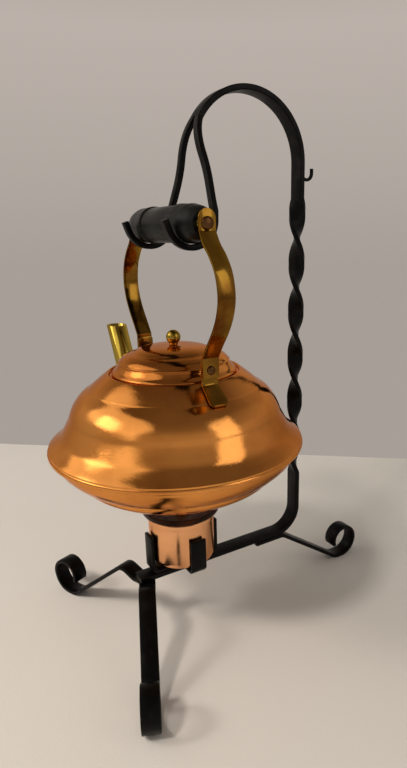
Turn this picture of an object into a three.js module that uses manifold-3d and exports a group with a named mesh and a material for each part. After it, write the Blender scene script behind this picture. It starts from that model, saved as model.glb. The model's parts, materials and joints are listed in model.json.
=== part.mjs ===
// Copper kettle hanging on a forged iron warming stand, with its spirit burner.
// Millimetres, +Z up. The column stands at +Y, the front legs point to -Y, the grip lies along X.
import * as THREE from 'three';
import { mergeVertices } from 'three/addons/utils/BufferGeometryUtils.js';
import Module from 'manifold-3d';

const wasm = await Module();
wasm.setup();

// Gap left between pieces that touch
const GAP = 0.3;

// Main bar of the stand, bent from one flat iron bar
const BAR_WIDTH = 12;
const BAR_THICK = 4;
const BAR_CORNER = 0.6;
const BAR_TOP = 49;
const BAR_FRONT = -37;
const COLUMN_Y = 106.5;
const BEND_RADIUS = 20;
const TWIST_RISE = 48.5;
const TWIST_DROP = 24;
const TWIST_TURNS = 3;
const STAND_HEIGHT = 387.5;

// Slit end of the bar: two tines that spread and curl into the hooks
const HOOK_RADIUS = 16.5;
const HOOK_X = 32;
const SLIT_ANGLE = 32;
const SLIT_WIDTH = 1;
const TINE_INSET = 0.1;
const TINE_OVERLAP = 3;
const TINE_STRAIGHT = 5;
const TINE_SPREAD = 1.3;

// Legs of flat strip, each with a scroll at its foot
const LEG_WIDTH = 12;
const LEG_THICK = 3;
const FRONT_SLOPE = 39;
const REAR_SLOPE = 34.5;
const LEG_BEND = 8;
const FRONT_APEX_Y = -30;
const FRONT_LEG_ANGLE = 67;
const FRONT_ROOT = 7.5;
const HUMP_TURN = 24;
const HUMP_RUN = 7.5;
const REAR_START_Y = 65;
const REAR_ROOT = 25;
const FOOT_FLAT = 3;
const SCROLL_RADIUS = 14.2;
const SCROLL_TIGHTEN = 1.6;
const SCROLL_QUARTERS = 3;
const SCROLL_END_RADIUS = 8.5;
const SCROLL_END_TURN = 30;

// Two crossed strips on the bar whose upturned ends hold the burner
const HOLDER_WIDTH = 12;
const HOLDER_THICK = 2.7;
const HOLDER_BEND = 3.7;
const PRONG_TOP = 79;
const PRONG_PLAY = 0.5;

// Wire hook on the back of the column
const WIRE_RADIUS = 1.15;
const WIRE_HOOK_RADIUS = 4.7;
const WIRE_HOOK_DROP = 6;
const WIRE_TIP = 3.3;

// Burner: round cup, pan in its mouth, wick in a tube
const CUP_RADIUS = 24.4;
const CUP_HEIGHT = 34;
const CUP_CORNER = 5;
const CUP_WALL = 1;
const CUP_BEAD = 0.8;
const PAN_RISE = 9;
const PAN_RADIUS = 30;
const PAN_WALL = 1;
const PAN_PLAY = 0.5;
const PAN_SKIRT = 5;
const PAN_FORM = [[0, 0], [0.16, 0.03], [0.57, 0.27], [1, 1]];
const WICK_TUBE_RADIUS = 6;
const WICK_TUBE_WALL = 0.8;
const WICK_TUBE_FLANGE = 10;
const WICK_TUBE_SHOW = 5;
const WICK_SHOW = 2;

// Kettle, with heights above its own base
const SHEET = 1;
const BASE_RADIUS = 59.3;
const GROOVE_RADIUS = 72.5;
const GROOVE_Z = 11.4;
const GROOVE_STEP = 2.2;
const RIM_RADIUS = 90;
const RIM_Z = 30.5;
const WAIST_RADIUS = 74.5;
const WAIST_Z = 51;
const CREASE_RADIUS = 58.8;
const CREASE_Z = 71;
const CREST_RADIUS = 46;
const CREST_Z = 81;
const SEAT_DEPTH = 1.5;
const SEAT_RADIUS = 44.4;
const MOUTH_RADIUS = 39.6;
const MOUTH_LIP = 4;
const FLANGE_WIDTH = 1.3;
const GROOVE_RISE = 0.6;
const RIM_ROUND = 0.8;

// Curves of the kettle from one of the places above to the next, as shares of the way out and down
const SHOULDER_FORM = [[0.31, 0.26], [0.63, 0.58], [1, 1]];
const FLANK_FORM = [[0.09, 0.04], [0.45, 0.25], [0.75, 0.55], [0.91, 0.8], [1, 1]];
const FLARE_FORM = [[0.21, 0.32], [0.41, 0.58], [0.65, 0.77], [1, 1]];
const BOWL_FORM = [[0.4, 0.28], [0.7, 0.55], [0.95, 0.85], [1, 1]];
const BASE_FORM = [[0, 0], [0.2, 0.08], [0.64, 0.42], [0.87, 0.7]];

// Lid
const LID_RADIUS = 43.5;
const LID_RISE = 18.4;
const LID_RING_RADIUS = 28;
const LID_BEAD_RADIUS = 38.6;
const LID_BEAD_RISE = 8;
const LID_RING_DROP = 4.1;
const LID_BEAD_STEP = 0.5;
const LID_CROWN_FORM = [[0.35, 0.05], [0.65, 0.24], [0.85, 0.56], [0.97, 0.93]];
const LID_SLOPE_FORM = [[0.04, 0.02], [0.38, 0.19], [0.72, 0.51], [0.92, 0.87]];
const LID_SIDE_FORM = [[0.12, 0.27], [0.41, 0.55], [0.78, 0.75]];
const COLLAR_PLAY = 0.7;
const COLLAR_DEPTH = 8;
const VENT_RADIUS = 1.5;
const VENT_DISTANCE = 8.5;
const KNOB_RADIUS = 5;
const KNOB_FOOT_RADIUS = 3;
const KNOB_STALK = 0.2;
const STEM_RADIUS = 1.5;
const NUT_RADIUS = 3.8;
const NUT_HEIGHT = 2.2;

// Handle: two bowed straps riveted to lugs, and a turned grip on a rod between them
const GRIP_Z = 298;
const HANDLE_RISE = 178;
const STRAP_WIDTH = 11.4;
const STRAP_THICK = 1.5;
const STRAP_BOW = 20.9;
const STRAP_FOOT_RISE = 6.5;
const STRAP_NECK = 13;
const STRAP_HEAD = 8.5;
const STRAP_CHAMFER = 1;
const LUG_THICK = 1.5;
const LUG_END_WIDTH = 12.8;
const LUG_FOOT_RUN = 14;
const LUG_SLOPE = 39;
const LUG_STAND = 3.2;
const LUG_CHAMFER = 1.5;
const RIVET_RISE = 5;
const RIVET_RADIUS = 1.6;
const RIVET_HEAD_RADIUS = 2.8;
const RIVET_HEAD = 1.2;
const ROD_RADIUS = 2.5;
const ROD_HEAD_RADIUS = 4;
const ROD_HEAD = 1.8;
const HOLE_PLAY = 0.3;

// Turned grip: thin middle, barrels at the sides, a level seat for each hook, rounded ends
const GRIP_HALF = 48;
const GRIP_MIDDLE_RADIUS = 11.6;
const GRIP_MIDDLE_HALF = 19.5;
const GRIP_BARREL_RADIUS = 12.3;
const GRIP_SEAT_RADIUS = 11.8;
const GRIP_SEAT_HALF = 3.6;
const GRIP_SHOULDER_RADIUS = 10;
const GRIP_END_RADIUS = 7.5;
const GRIP_END_RUN = 4;
const GRIP_EDGE = 0.8;
const BARREL_FORM = [[0, 0], [0.4, 0.63], [1, 1]];
const NECK_FORM = [[0, 0], [0.33, 0.36], [1, 1]];
const COLLAR_RADIUS = 5.6;
const COLLAR_LENGTH = 2;

// Spout: straight tube with its mouth cut level
const SPOUT_RADIUS = 8.1;
const SPOUT_WALL = 0.8;
const SPOUT_TIP_X = 111.2;
const SPOUT_TIP_Z = 97.8;
const SPOUT_LEAN = 28.5;
const SPOUT_HOLE_RADIUS = 5;

const QUARTER = Math.PI / 2;
const BODY_SIDES = 36;
const LID_SIDES = 28;
const BURNER_SIDES = 24;
const GRIP_SIDES = 18;
const SPOUT_SIDES = 20;
const SMALL_SIDES = 12;

const rad = THREE.MathUtils.degToRad;
const v2 = (x, y) => new THREE.Vector2(x, y);
const v3 = (x, y, z) => new THREE.Vector3(x, y, z);

// Colours and finishes
const COPPER = { color: 0xc98058, roughness: 0.14, metalness: 1 };
const BRASS = { color: 0xb5963c, roughness: 0.2, metalness: 1 };
const IRON = { color: 0x1c1b18, roughness: 0.5, metalness: 0.6 };
const BLACK_WOOD = { color: 0x1d1f1c, roughness: 0.38, metalness: 0 };
const BURNT_METAL = { color: 0x2a1d14, roughness: 0.45, metalness: 0.8 };
const COTTON = { color: 0xd9d2c0, roughness: 0.95, metalness: 0 };

// Signed volume of an indexed surface
function signedVolume(geometry) {
  const place = geometry.attributes.position;
  const index = geometry.index;
  const [a, b, c] = [v3(), v3(), v3()];
  let volume = 0;
  for (let i = 0; i < index.count; i += 3) {
    a.fromBufferAttribute(place, index.getX(i));
    b.fromBufferAttribute(place, index.getX(i + 1));
    c.fromBufferAttribute(place, index.getX(i + 2));
    volume += a.dot(b.cross(c));
  }
  return volume;
}

// Closed surface with shared corners, no empty triangles, and its faces outward
function weld(source) {
  const bare = source.clone();
  bare.deleteAttribute('normal');
  bare.deleteAttribute('uv');
  const merged = mergeVertices(bare, 1e-4);
  const kept = [];
  for (let i = 0; i < merged.index.count; i += 3) {
    const [a, b, c] = [0, 1, 2].map((k) => merged.index.getX(i + k));
    if (a !== b && b !== c && c !== a) kept.push(a, b, c);
  }
  merged.setIndex(kept);
  if (signedVolume(merged) < 0) merged.setIndex(kept.reverse());
  return merged;
}

function toSolid(geometry) {
  const surface = weld(geometry);
  return new wasm.Manifold(new wasm.Mesh({
    numProp: 3,
    vertProperties: new Float32Array(surface.attributes.position.array),
    triVerts: new Uint32Array(surface.index.array),
  }));
}

function toGeometry(solid) {
  const mesh = solid.getMesh();
  const geometry = new THREE.BufferGeometry();
  const places = new Float32Array(mesh.vertProperties);
  geometry.setAttribute('position', new THREE.BufferAttribute(places, 3));
  geometry.setIndex([...mesh.triVerts]);
  return geometry;
}

function addPiece(group, name, geometry, look) {
  const surface = weld(geometry);
  surface.computeVertexNormals();
  const mesh = new THREE.Mesh(surface, new THREE.MeshStandardMaterial(look));
  mesh.name = name;
  group.add(mesh);
  return mesh;
}

function unitSteps(points) {
  return points.slice(1).map((p, i) => p.clone().sub(points[i]).normalize());
}

// Left-hand normal at each point of a line, lengthened at corners so that an offset keeps its distance
function mitres(points) {
  const steps = unitSteps(points);
  return points.map((p, i) => {
    const before = steps[Math.max(i - 1, 0)];
    const after = steps[Math.min(i, steps.length - 1)];
    const sum = v2(-before.y - after.y, before.x + after.x);
    return sum.divideScalar(1 + before.dot(after));
  });
}

function offsetLine(points, distance) {
  const sideways = mitres(points);
  return points.map((p, i) => p.clone().addScaledVector(sideways[i], distance));
}

// Line drawn by straight runs, { run }, and turns in degrees, { radius, turn }
function tracePath(start, heading, moves, finest = 12) {
  const points = [start.clone()];
  const at = start.clone();
  let angle = rad(heading);
  for (const move of moves) {
    const count = move.run ? 1 : Math.ceil(Math.abs(move.turn) / finest);
    const part = move.run ? 0 : rad(move.turn) / count;
    const length = move.run ?? 2 * move.radius * Math.sin(Math.abs(part) / 2);
    for (let i = 0; i < count; i += 1) {
      at.add(v2(Math.cos(angle + part / 2), Math.sin(angle + part / 2)).multiplyScalar(length));
      points.push(at.clone());
      angle += part;
    }
  }
  return points;
}

// Points on a circle, angles in degrees
function arc(x, y, radius, from, to, count) {
  return Array.from({ length: count + 1 }, (unused, i) => {
    const a = rad(from + ((to - from) * i) / count);
    return v2(x + radius * Math.cos(a), y + radius * Math.sin(a));
  });
}

const smooth = (points, count) => new THREE.SplineCurve(points).getPoints(count);

// Points at shares of the way from one point to another in each direction
const between = (a, b, form) => form.map(([across, along]) => (
  v2(a.x + (b.x - a.x) * across, a.y + (b.y - a.y) * along)
));

// Coarser copy of a line for the inside of a sheet, with the same ends
const everySecond = (line) => line.filter((p, i) => i % 2 === 0 || i === line.length - 1);

// Turned piece about Z from radius and height; a profile off the axis closes on itself
function turned(profile, sides) {
  const open = profile[0].x > 0;
  const loop = open ? [...profile, profile[0].clone()] : profile;
  return new THREE.LatheGeometry(loop, sides).rotateX(QUARTER);
}

// The same about X, for what lies along the grip
const turnedAlongX = (profile, sides) => turned(profile, sides).rotateY(QUARTER);

// Strip of even thickness along a line in the X-Z plane, centred on Y = 0
function strip(line, thick, width) {
  const outline = [...offsetLine(line, thick / 2), ...offsetLine(line, -thick / 2).reverse()];
  const options = { depth: width, bevelEnabled: false };
  const body = new THREE.ExtrudeGeometry(new THREE.Shape(outline), options);
  return body.translate(0, 0, -width / 2).rotateX(QUARTER);
}

// Skin over copies of one section, each on a frame with a point and two axes
function loft(section, frames) {
  const places = frames.flatMap((frame) => section.flatMap((corner) => {
    const p = frame.at.clone().addScaledVector(frame.across, corner.x);
    return p.addScaledVector(frame.through, corner.y).toArray();
  }));
  const n = section.length;
  const last = (frames.length - 1) * n;
  const index = [];
  for (let i = 0; i < last; i += n) {
    for (let j = 0; j < n; j += 1) {
      const k = (j + 1) % n;
      index.push(i + j, i + k, i + n + k, i + j, i + n + k, i + n + j);
    }
  }
  for (let j = 1; j < n - 1; j += 1) {
    index.push(0, j + 1, j, last, last + j, last + j + 1);
  }
  const geometry = new THREE.BufferGeometry();
  geometry.setAttribute('position', new THREE.BufferAttribute(new Float32Array(places), 3));
  geometry.setIndex(index);
  return geometry;
}

// Rectangle with its corners taken off
function barSection(width, thick, corner) {
  const [x, y] = [width / 2, thick / 2];
  return [
    v2(x, y - corner), v2(x - corner, y), v2(corner - x, y), v2(-x, y - corner),
    v2(-x, corner - y), v2(corner - x, -y), v2(x - corner, -y), v2(x, corner - y),
  ];
}

// Sheet strip on a line in the X-Z plane, with its own width at each point
function sheetStrip(line, thick, widths) {
  const sideways = mitres(line);
  const frames = line.map((p, i) => ({
    at: v3(p.x, 0, p.y),
    across: v3(0, widths[i], 0),
    through: v3(sideways[i].x, 0, sideways[i].y),
  }));
  return loft([v2(0.5, thick / 2), v2(-0.5, thick / 2), v2(-0.5, -thick / 2), v2(0.5, -thick / 2)], frames);
}

// Round pin along X, for cutting holes and as a bore
const pinAlongX = (radius, length) => (
  new THREE.CylinderGeometry(radius, radius, length, SMALL_SIDES).rotateZ(QUARTER)
);

// Stand: main bar

const BAR_Z = BAR_TOP - BAR_THICK / 2;
const ARCH_RADIUS = (COLUMN_Y - HOOK_RADIUS) / 2;
const ARCH_Y = COLUMN_Y - ARCH_RADIUS;
const ARCH_Z = STAND_HEIGHT - BAR_THICK / 2 - ARCH_RADIUS;
const TWIST_LOW = BAR_TOP + TWIST_RISE;
const TWIST_HIGH = ARCH_Z - TWIST_DROP;
const HOOK_Z = GRIP_Z - GRIP_SEAT_RADIUS - GAP - BAR_THICK / 2 + HOOK_RADIUS;

// Frame of the bar in the Y-Z plane; twist turns it about its own line
function barFrame(y, z, heading, twist = 0) {
  const level = v3(1, 0, 0);
  const upright = v3(0, Math.sin(heading), -Math.cos(heading));
  const [c, s] = [Math.cos(twist), Math.sin(twist)];
  return {
    at: v3(0, y, z),
    across: level.clone().multiplyScalar(c).addScaledVector(upright, s),
    through: upright.clone().multiplyScalar(c).addScaledVector(level, -s),
  };
}

function mainBarFrames() {
  const [bendSteps, stepsPerTurn, archSteps] = [8, 14, 20];
  const frames = [barFrame(BAR_FRONT, BAR_Z, 0)];
  for (let i = 0; i <= bendSteps; i += 1) {
    const a = (QUARTER * i) / bendSteps;
    const y = COLUMN_Y - BEND_RADIUS * (1 - Math.sin(a));
    frames.push(barFrame(y, BAR_Z + BEND_RADIUS * (1 - Math.cos(a)), a));
  }
  const twistSteps = Math.round(TWIST_TURNS * stepsPerTurn);
  for (let i = 0; i <= twistSteps; i += 1) {
    const left = 1 - i / twistSteps;
    const z = TWIST_HIGH + (TWIST_LOW - TWIST_HIGH) * left;
    frames.push(barFrame(COLUMN_Y, z, QUARTER, TWIST_TURNS * 2 * Math.PI * left));
  }
  for (let i = 0; i <= archSteps; i += 1) {
    const a = (rad(180 - SLIT_ANGLE) * i) / archSteps;
    const [y, z] = [ARCH_Y + ARCH_RADIUS * Math.cos(a), ARCH_Z + ARCH_RADIUS * Math.sin(a)];
    frames.push(barFrame(y, z, QUARTER + a));
  }
  return frames;
}

// A tine runs down the rest of the arch, spreads sideways and curls under the grip
function tineFrames(side) {
  const onArch = rad(SLIT_ANGLE) * ARCH_RADIUS;
  const toHook = onArch + ARCH_Z - HOOK_Z;
  const spread = toHook - TINE_STRAIGHT;
  const inner = (BAR_WIDTH + SLIT_WIDTH) / 4;

  // Point at distance s along the tine, and the direction out of the bend there
  function place(s) {
    const t = THREE.MathUtils.clamp(s / spread, 0, 1);
    const x = side * (HOOK_X - (HOOK_X - inner) * (1 - t) ** TINE_SPREAD);
    if (s < onArch) {
      const a = (onArch - s) / ARCH_RADIUS;
      const out = v3(0, -Math.cos(a), Math.sin(a));
      return { at: v3(x, ARCH_Y, ARCH_Z).addScaledVector(out, ARCH_RADIUS), out };
    }
    const a = Math.max(0, s - toHook) / HOOK_RADIUS;
    const out = v3(0, -Math.cos(a), Math.sin(a));
    const z = Math.max(HOOK_Z, ARCH_Z + onArch - s);
    return { at: v3(x, 0, z).addScaledVector(out, -HOOK_RADIUS), out };
  }

  const [spreadSteps, hookSteps] = [14, 12];
  const stops = [-TINE_OVERLAP];
  for (let i = 0; i <= spreadSteps; i += 1) stops.push((spread * i) / spreadSteps);
  for (let i = 0; i <= hookSteps; i += 1) stops.push(toHook + (Math.PI * HOOK_RADIUS * i) / hookSteps);
  const nudge = 0.05;
  return stops.map((s) => {
    const along = place(s + nudge).at.sub(place(s - nudge).at).normalize();
    const through = place(s).out;
    through.addScaledVector(along, -through.dot(along)).normalize();
    return { at: place(s).at, across: along.clone().cross(through), through };
  });
}

function mainBar() {
  const tineWidth = (BAR_WIDTH - SLIT_WIDTH) / 2 - 2 * TINE_INSET;
  const tineSection = barSection(tineWidth, BAR_THICK - 2 * TINE_INSET, BAR_CORNER);
  let bar = toSolid(loft(barSection(BAR_WIDTH, BAR_THICK, BAR_CORNER), mainBarFrames()));
  for (const side of [-1, 1]) bar = bar.add(toSolid(loft(tineSection, tineFrames(side))));
  return toGeometry(bar);
}

// Stand: legs

const LEG_Z = BAR_TOP - BAR_THICK - GAP - LEG_THICK / 2;
const QUARTER_TURN = 90;

// Leg line, outward from its root: the root's moves, the straight slope, the flat foot, the scroll
function legLine(start, slope, rootMoves) {
  const root = tracePath(v2(start, LEG_Z), 0, rootMoves);
  const drop = root.at(-1).y - LEG_THICK / 2 - SCROLL_RADIUS * (1 - Math.cos(rad(slope)));
  const quarters = Array.from({ length: SCROLL_QUARTERS }, (unused, i) => (
    { radius: SCROLL_RADIUS - SCROLL_TIGHTEN * i, turn: QUARTER_TURN }
  ));
  return tracePath(v2(start, LEG_Z), 0, [
    ...rootMoves,
    { run: drop / Math.sin(rad(slope)) },
    { radius: SCROLL_RADIUS, turn: slope },
    { run: FOOT_FLAT },
    ...quarters,
    { radius: SCROLL_END_RADIUS, turn: SCROLL_END_TURN },
  ]);
}

// The front legs turn up over a low hump and meet each other with mitred ends under the bar
function frontLeg(side) {
  const spare = LEG_WIDTH / 2;
  const line = legLine(-spare, FRONT_SLOPE, [
    { run: spare + FRONT_ROOT },
    { radius: LEG_BEND, turn: HUMP_TURN },
    { run: HUMP_RUN },
    { radius: LEG_BEND, turn: -HUMP_TURN - FRONT_SLOPE },
  ]);
  const size = 4 * BAR_TOP;
  const mitre = new THREE.BoxGeometry(size, size, size).translate((GAP - size) / 2, 0, 0);
  const spread = QUARTER - rad(FRONT_LEG_ANGLE);
  mitre.rotateZ(side * spread);
  return toGeometry(toSolid(strip(line, LEG_THICK, LEG_WIDTH)).subtract(toSolid(mitre)));
}

const rearLeg = () => strip(
  legLine(0, REAR_SLOPE, [{ run: REAR_ROOT }, { radius: LEG_BEND, turn: -REAR_SLOPE }]),
  LEG_THICK,
  LEG_WIDTH,
);

// Stand: burner holder and wire hook

const LONG_STRIP_Z = BAR_TOP + GAP + HOLDER_THICK / 2;
const CROSS_STRIP_Z = LONG_STRIP_Z + HOLDER_THICK + GAP;
const CUP_Z = CROSS_STRIP_Z + HOLDER_THICK / 2 + GAP;

// Strip with both ends bent up, along X at a given height
function holderStrip(level) {
  const half = CUP_RADIUS + PRONG_PLAY + HOLDER_THICK / 2;
  const upright = { run: PRONG_TOP - level - HOLDER_BEND };
  const corner = { radius: HOLDER_BEND, turn: QUARTER_TURN };
  const floor = { run: 2 * (half - HOLDER_BEND) };
  const line = tracePath(v2(-half, PRONG_TOP), -QUARTER_TURN, [upright, corner, floor, corner, upright], 18);
  return strip(line, HOLDER_THICK, HOLDER_WIDTH);
}

const WIRE_HOOK_Z = ARCH_Z - WIRE_HOOK_DROP;

function wireHook() {
  const start = COLUMN_Y + BAR_THICK / 2 + GAP + WIRE_RADIUS;
  const bow = arc(start + WIRE_HOOK_RADIUS, WIRE_HOOK_Z, WIRE_HOOK_RADIUS, 180, 360, 8);
  const line = [v2(start, WIRE_HOOK_Z + WIRE_RADIUS), ...bow, v2(bow.at(-1).x, WIRE_HOOK_Z + WIRE_TIP)];
  const route = new THREE.CatmullRomCurve3(line.map((p) => v3(0, p.x, p.y)), false, 'centripetal');
  const round = new THREE.Shape().absarc(0, 0, WIRE_RADIUS, 0, 2 * Math.PI);
  const options = { steps: 14, curveSegments: 4, bevelEnabled: false, extrudePath: route };
  return new THREE.ExtrudeGeometry(round, options);
}

// Burner, with heights above the cup's bottom

function burnerCup() {
  const inside = CUP_RADIUS - CUP_WALL;
  const centre = CUP_RADIUS - CUP_CORNER;
  const beadX = inside + CUP_BEAD;
  return turned([
    v2(0, 0),
    ...arc(centre, CUP_CORNER, CUP_CORNER, -90, 0, 4),
    ...arc(beadX, CUP_HEIGHT - CUP_BEAD, CUP_BEAD, -60, 180, 4),
    ...arc(centre, CUP_CORNER, CUP_CORNER - CUP_WALL, 0, -90, 3),
    v2(0, CUP_WALL),
  ], BURNER_SIDES);
}

// Flaring pan that rests on the cup's rim, with a skirt inside it and a hole for the wick tube
function burnerPan() {
  const skirt = CUP_RADIUS - CUP_WALL - PAN_PLAY;
  const floor = CUP_HEIGHT + GAP;
  const hole = WICK_TUBE_RADIUS + HOLE_PLAY;
  const wall = smooth(between(v2(CUP_RADIUS, floor), v2(PAN_RADIUS, floor + PAN_RISE), PAN_FORM), 6);
  return turned([
    v2(hole, floor), v2(skirt - PAN_WALL, floor), v2(skirt - PAN_WALL, floor - PAN_SKIRT),
    v2(skirt, floor - PAN_SKIRT), v2(skirt, floor),
    ...wall,
    ...offsetLine(everySecond(wall), PAN_WALL).reverse(),
    v2(hole, floor + PAN_WALL),
  ], BURNER_SIDES);
}

const TUBE_TOP = CUP_HEIGHT + WICK_TUBE_SHOW;
const TUBE_FOOT = CUP_WALL + GAP;

function wickTube() {
  const bore = WICK_TUBE_RADIUS - WICK_TUBE_WALL;
  const step = TUBE_FOOT + CUP_WALL;
  return turned([
    v2(bore, TUBE_FOOT), v2(WICK_TUBE_FLANGE, TUBE_FOOT), v2(WICK_TUBE_FLANGE, step),
    v2(WICK_TUBE_RADIUS, step), v2(WICK_TUBE_RADIUS, TUBE_TOP), v2(bore, TUBE_TOP),
  ], SMALL_SIDES);
}

function wick() {
  const radius = WICK_TUBE_RADIUS - WICK_TUBE_WALL - GAP;
  const top = TUBE_TOP + WICK_SHOW;
  const edge = radius / 4;
  return turned([
    v2(0, TUBE_FOOT), v2(radius, TUBE_FOOT), v2(radius, top - edge), v2(radius - edge, top), v2(0, top),
  ], SMALL_SIDES);
}

// Kettle body

// The flange of the lower shell lies just under the rim, and the hem of the upper shell under the flange
const SEAT_Z = CREST_Z - SEAT_DEPTH;
const FLANGE_TOP = RIM_Z - 2 * GAP;
const HEM_TOP = FLANGE_TOP - SHEET - GAP;
const HEM_BOTTOM = HEM_TOP - SHEET;

// Outside of the body from the crest round the mouth to the rim
function flankLine() {
  const crest = v2(CREST_RADIUS, CREST_Z);
  const crease = v2(CREASE_RADIUS, CREASE_Z);
  const waist = v2(WAIST_RADIUS, WAIST_Z);
  const rim = v2(RIM_RADIUS - RIM_ROUND, RIM_Z + 2 * RIM_ROUND);
  return [
    ...arc(CREST_RADIUS, CREST_Z - SHEET, SHEET, 150, 60, 3),
    ...smooth(between(crest, crease, SHOULDER_FORM), 3),
    ...smooth([...between(crease, waist, FLANK_FORM), ...between(waist, rim, FLARE_FORM)], 9),
  ];
}

// Outside of the upper shell, from the lip inside the mouth to the rim
const upperLine = () => [
  v2(MOUTH_RADIUS, SEAT_Z - MOUTH_LIP),
  v2(MOUTH_RADIUS, SEAT_Z - SHEET),
  v2(MOUTH_RADIUS + SHEET, SEAT_Z),
  v2(SEAT_RADIUS, SEAT_Z),
  ...flankLine(),
];

// The upper shell's edge is folded round the lower shell's flange
function upperShell() {
  const outside = upperLine();
  const inside = offsetLine(everySecond(outside), -SHEET);
  const lip = RIM_RADIUS - SHEET - FLANGE_WIDTH;
  const hem = [
    v2(RIM_RADIUS, RIM_Z + RIM_ROUND),
    v2(RIM_RADIUS, RIM_Z - RIM_ROUND),
    v2(RIM_RADIUS - RIM_ROUND, HEM_BOTTOM + RIM_ROUND / 2),
    v2(lip, HEM_BOTTOM),
    v2(lip, HEM_TOP),
    v2(RIM_RADIUS - SHEET, HEM_TOP),
  ];
  return [...outside, ...hem, ...inside.reverse()];
}

// Outside of the lower shell, from the middle of its bottom to the flange
function lowerLine() {
  const wall = RIM_RADIUS - SHEET - FLANGE_WIDTH - 2 * GAP;
  const groove = v2(GROOVE_RADIUS, GROOVE_Z);
  const ledge = v2(GROOVE_RADIUS + GROOVE_STEP, GROOVE_Z + GROOVE_RISE);
  return [
    v2(0, 0),
    ...smooth(between(v2(BASE_RADIUS, 0), groove, BASE_FORM), 4),
    groove,
    ledge,
    ...smooth(between(ledge, v2(wall, HEM_BOTTOM - GAP), BOWL_FORM), 4),
    v2(wall, FLANGE_TOP - SHEET),
  ];
}

function lowerShell() {
  const outside = lowerLine();
  const inside = offsetLine(everySecond(outside), SHEET);
  const edge = RIM_RADIUS - SHEET - GAP;
  inside[0].x = 0;
  const flange = [v2(edge, FLANGE_TOP - SHEET), v2(edge, FLANGE_TOP), v2(inside.at(-1).x, FLANGE_TOP)];
  return [...outside, ...flange, ...inside.reverse().slice(1)];
}

// Oblique round tube whose cuts are level: its level sections are ellipses
function obliqueBar(radius, low, high) {
  const lean = rad(SPOUT_LEAN);
  const section = arc(0, 0, radius, 0, 360, SPOUT_SIDES).slice(1);
  const frames = [low, high].map((z) => ({
    at: v3(-SPOUT_TIP_X + (SPOUT_TIP_Z - z) * Math.tan(lean), 0, z),
    across: v3(1 / Math.cos(lean), 0, 0),
    through: v3(0, 1, 0),
  }));
  return toSolid(loft(section, frames));
}

// The spout's lower end fits the outside of the flare
function spout() {
  const flare = turned([
    v2(0, RIM_Z - SHEET),
    v2(RIM_RADIUS + GAP, RIM_Z - SHEET),
    ...offsetLine(flankLine(), GAP).reverse(),
    v2(0, CREST_Z),
  ], BODY_SIDES);
  const tube = obliqueBar(SPOUT_RADIUS, RIM_Z + SHEET, SPOUT_TIP_Z);
  const bore = obliqueBar(SPOUT_RADIUS - SPOUT_WALL, RIM_Z, SPOUT_TIP_Z + SHEET);
  return toGeometry(tube.subtract(bore).subtract(toSolid(flare)));
}

function piercedUpperShell() {
  const shell = toSolid(turned(upperShell(), BODY_SIDES));
  return toGeometry(shell.subtract(obliqueBar(SPOUT_HOLE_RADIUS, RIM_Z + SHEET, WAIST_Z + SPOUT_RADIUS)));
}

// Lid, with heights above the kettle's base

const LID_Z = SEAT_Z + GAP;
const LID_TOP = LID_Z + LID_RISE;
const KNOB_FOOT = LID_TOP + GAP;

// A crown falls to a crease, a slope to a bead, and the side to the rolled edge; a collar stands inside
function lidShell() {
  const crown = v2(KNOB_RADIUS, LID_TOP);
  const ring = v2(LID_RING_RADIUS, LID_TOP - LID_RING_DROP);
  const bead = v2(LID_BEAD_RADIUS, LID_Z + LID_BEAD_RISE);
  const outside = [
    v2(0, LID_TOP),
    crown,
    ...smooth(between(crown, ring, LID_CROWN_FORM), 4),
    ...smooth(between(ring, bead, LID_SLOPE_FORM), 4),
    bead,
    v2(bead.x - LID_BEAD_STEP, bead.y - 2 * LID_BEAD_STEP),
    ...smooth(between(bead, v2(LID_RADIUS, LID_Z), LID_SIDE_FORM), 3),
  ];
  const inside = offsetLine(everySecond(outside), -SHEET);
  inside[0].x = 0;
  const collar = MOUTH_RADIUS - COLLAR_PLAY;
  return [
    ...outside,
    ...arc(LID_RADIUS - SHEET, LID_Z + SHEET, SHEET, 45, -90, 3),
    v2(collar, LID_Z), v2(collar, LID_Z - COLLAR_DEPTH), v2(collar - SHEET, LID_Z - COLLAR_DEPTH),
    v2(collar - SHEET, LID_Z + SHEET), v2(inside.at(-1).x - SHEET, LID_Z + SHEET),
    ...inside.reverse(),
  ];
}

function piercedLid() {
  const lid = toSolid(turned(lidShell(), LID_SIDES));
  const vent = new THREE.CylinderGeometry(VENT_RADIUS, VENT_RADIUS, LID_RISE, SMALL_SIDES).rotateX(QUARTER);
  const bore = new THREE.CylinderGeometry(
    STEM_RADIUS + HOLE_PLAY, STEM_RADIUS + HOLE_PLAY, LID_RISE, SMALL_SIDES,
  ).rotateX(QUARTER);
  vent.translate(VENT_DISTANCE, 0, LID_TOP);
  bore.translate(0, 0, LID_TOP);
  return toGeometry(lid.subtract(toSolid(vent)).subtract(toSolid(bore)));
}

function lidKnob() {
  const ball = KNOB_FOOT + KNOB_STALK + KNOB_RADIUS;
  const nutFoot = LID_TOP - SHEET - GAP - NUT_HEIGHT;
  return [
    v2(0, nutFoot - GAP), v2(STEM_RADIUS, nutFoot - GAP), v2(STEM_RADIUS, KNOB_FOOT),
    v2(KNOB_FOOT_RADIUS, KNOB_FOOT),
    ...arc(0, ball, KNOB_RADIUS, -50, 90, 7).slice(0, -1),
    v2(0, ball + KNOB_RADIUS),
  ];
}

function lidNut() {
  const top = LID_TOP - SHEET - GAP;
  const bore = STEM_RADIUS + HOLE_PLAY;
  return [v2(bore, top - NUT_HEIGHT), v2(NUT_RADIUS, top - NUT_HEIGHT), v2(NUT_RADIUS, top), v2(bore, top)];
}

// Handle

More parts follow.
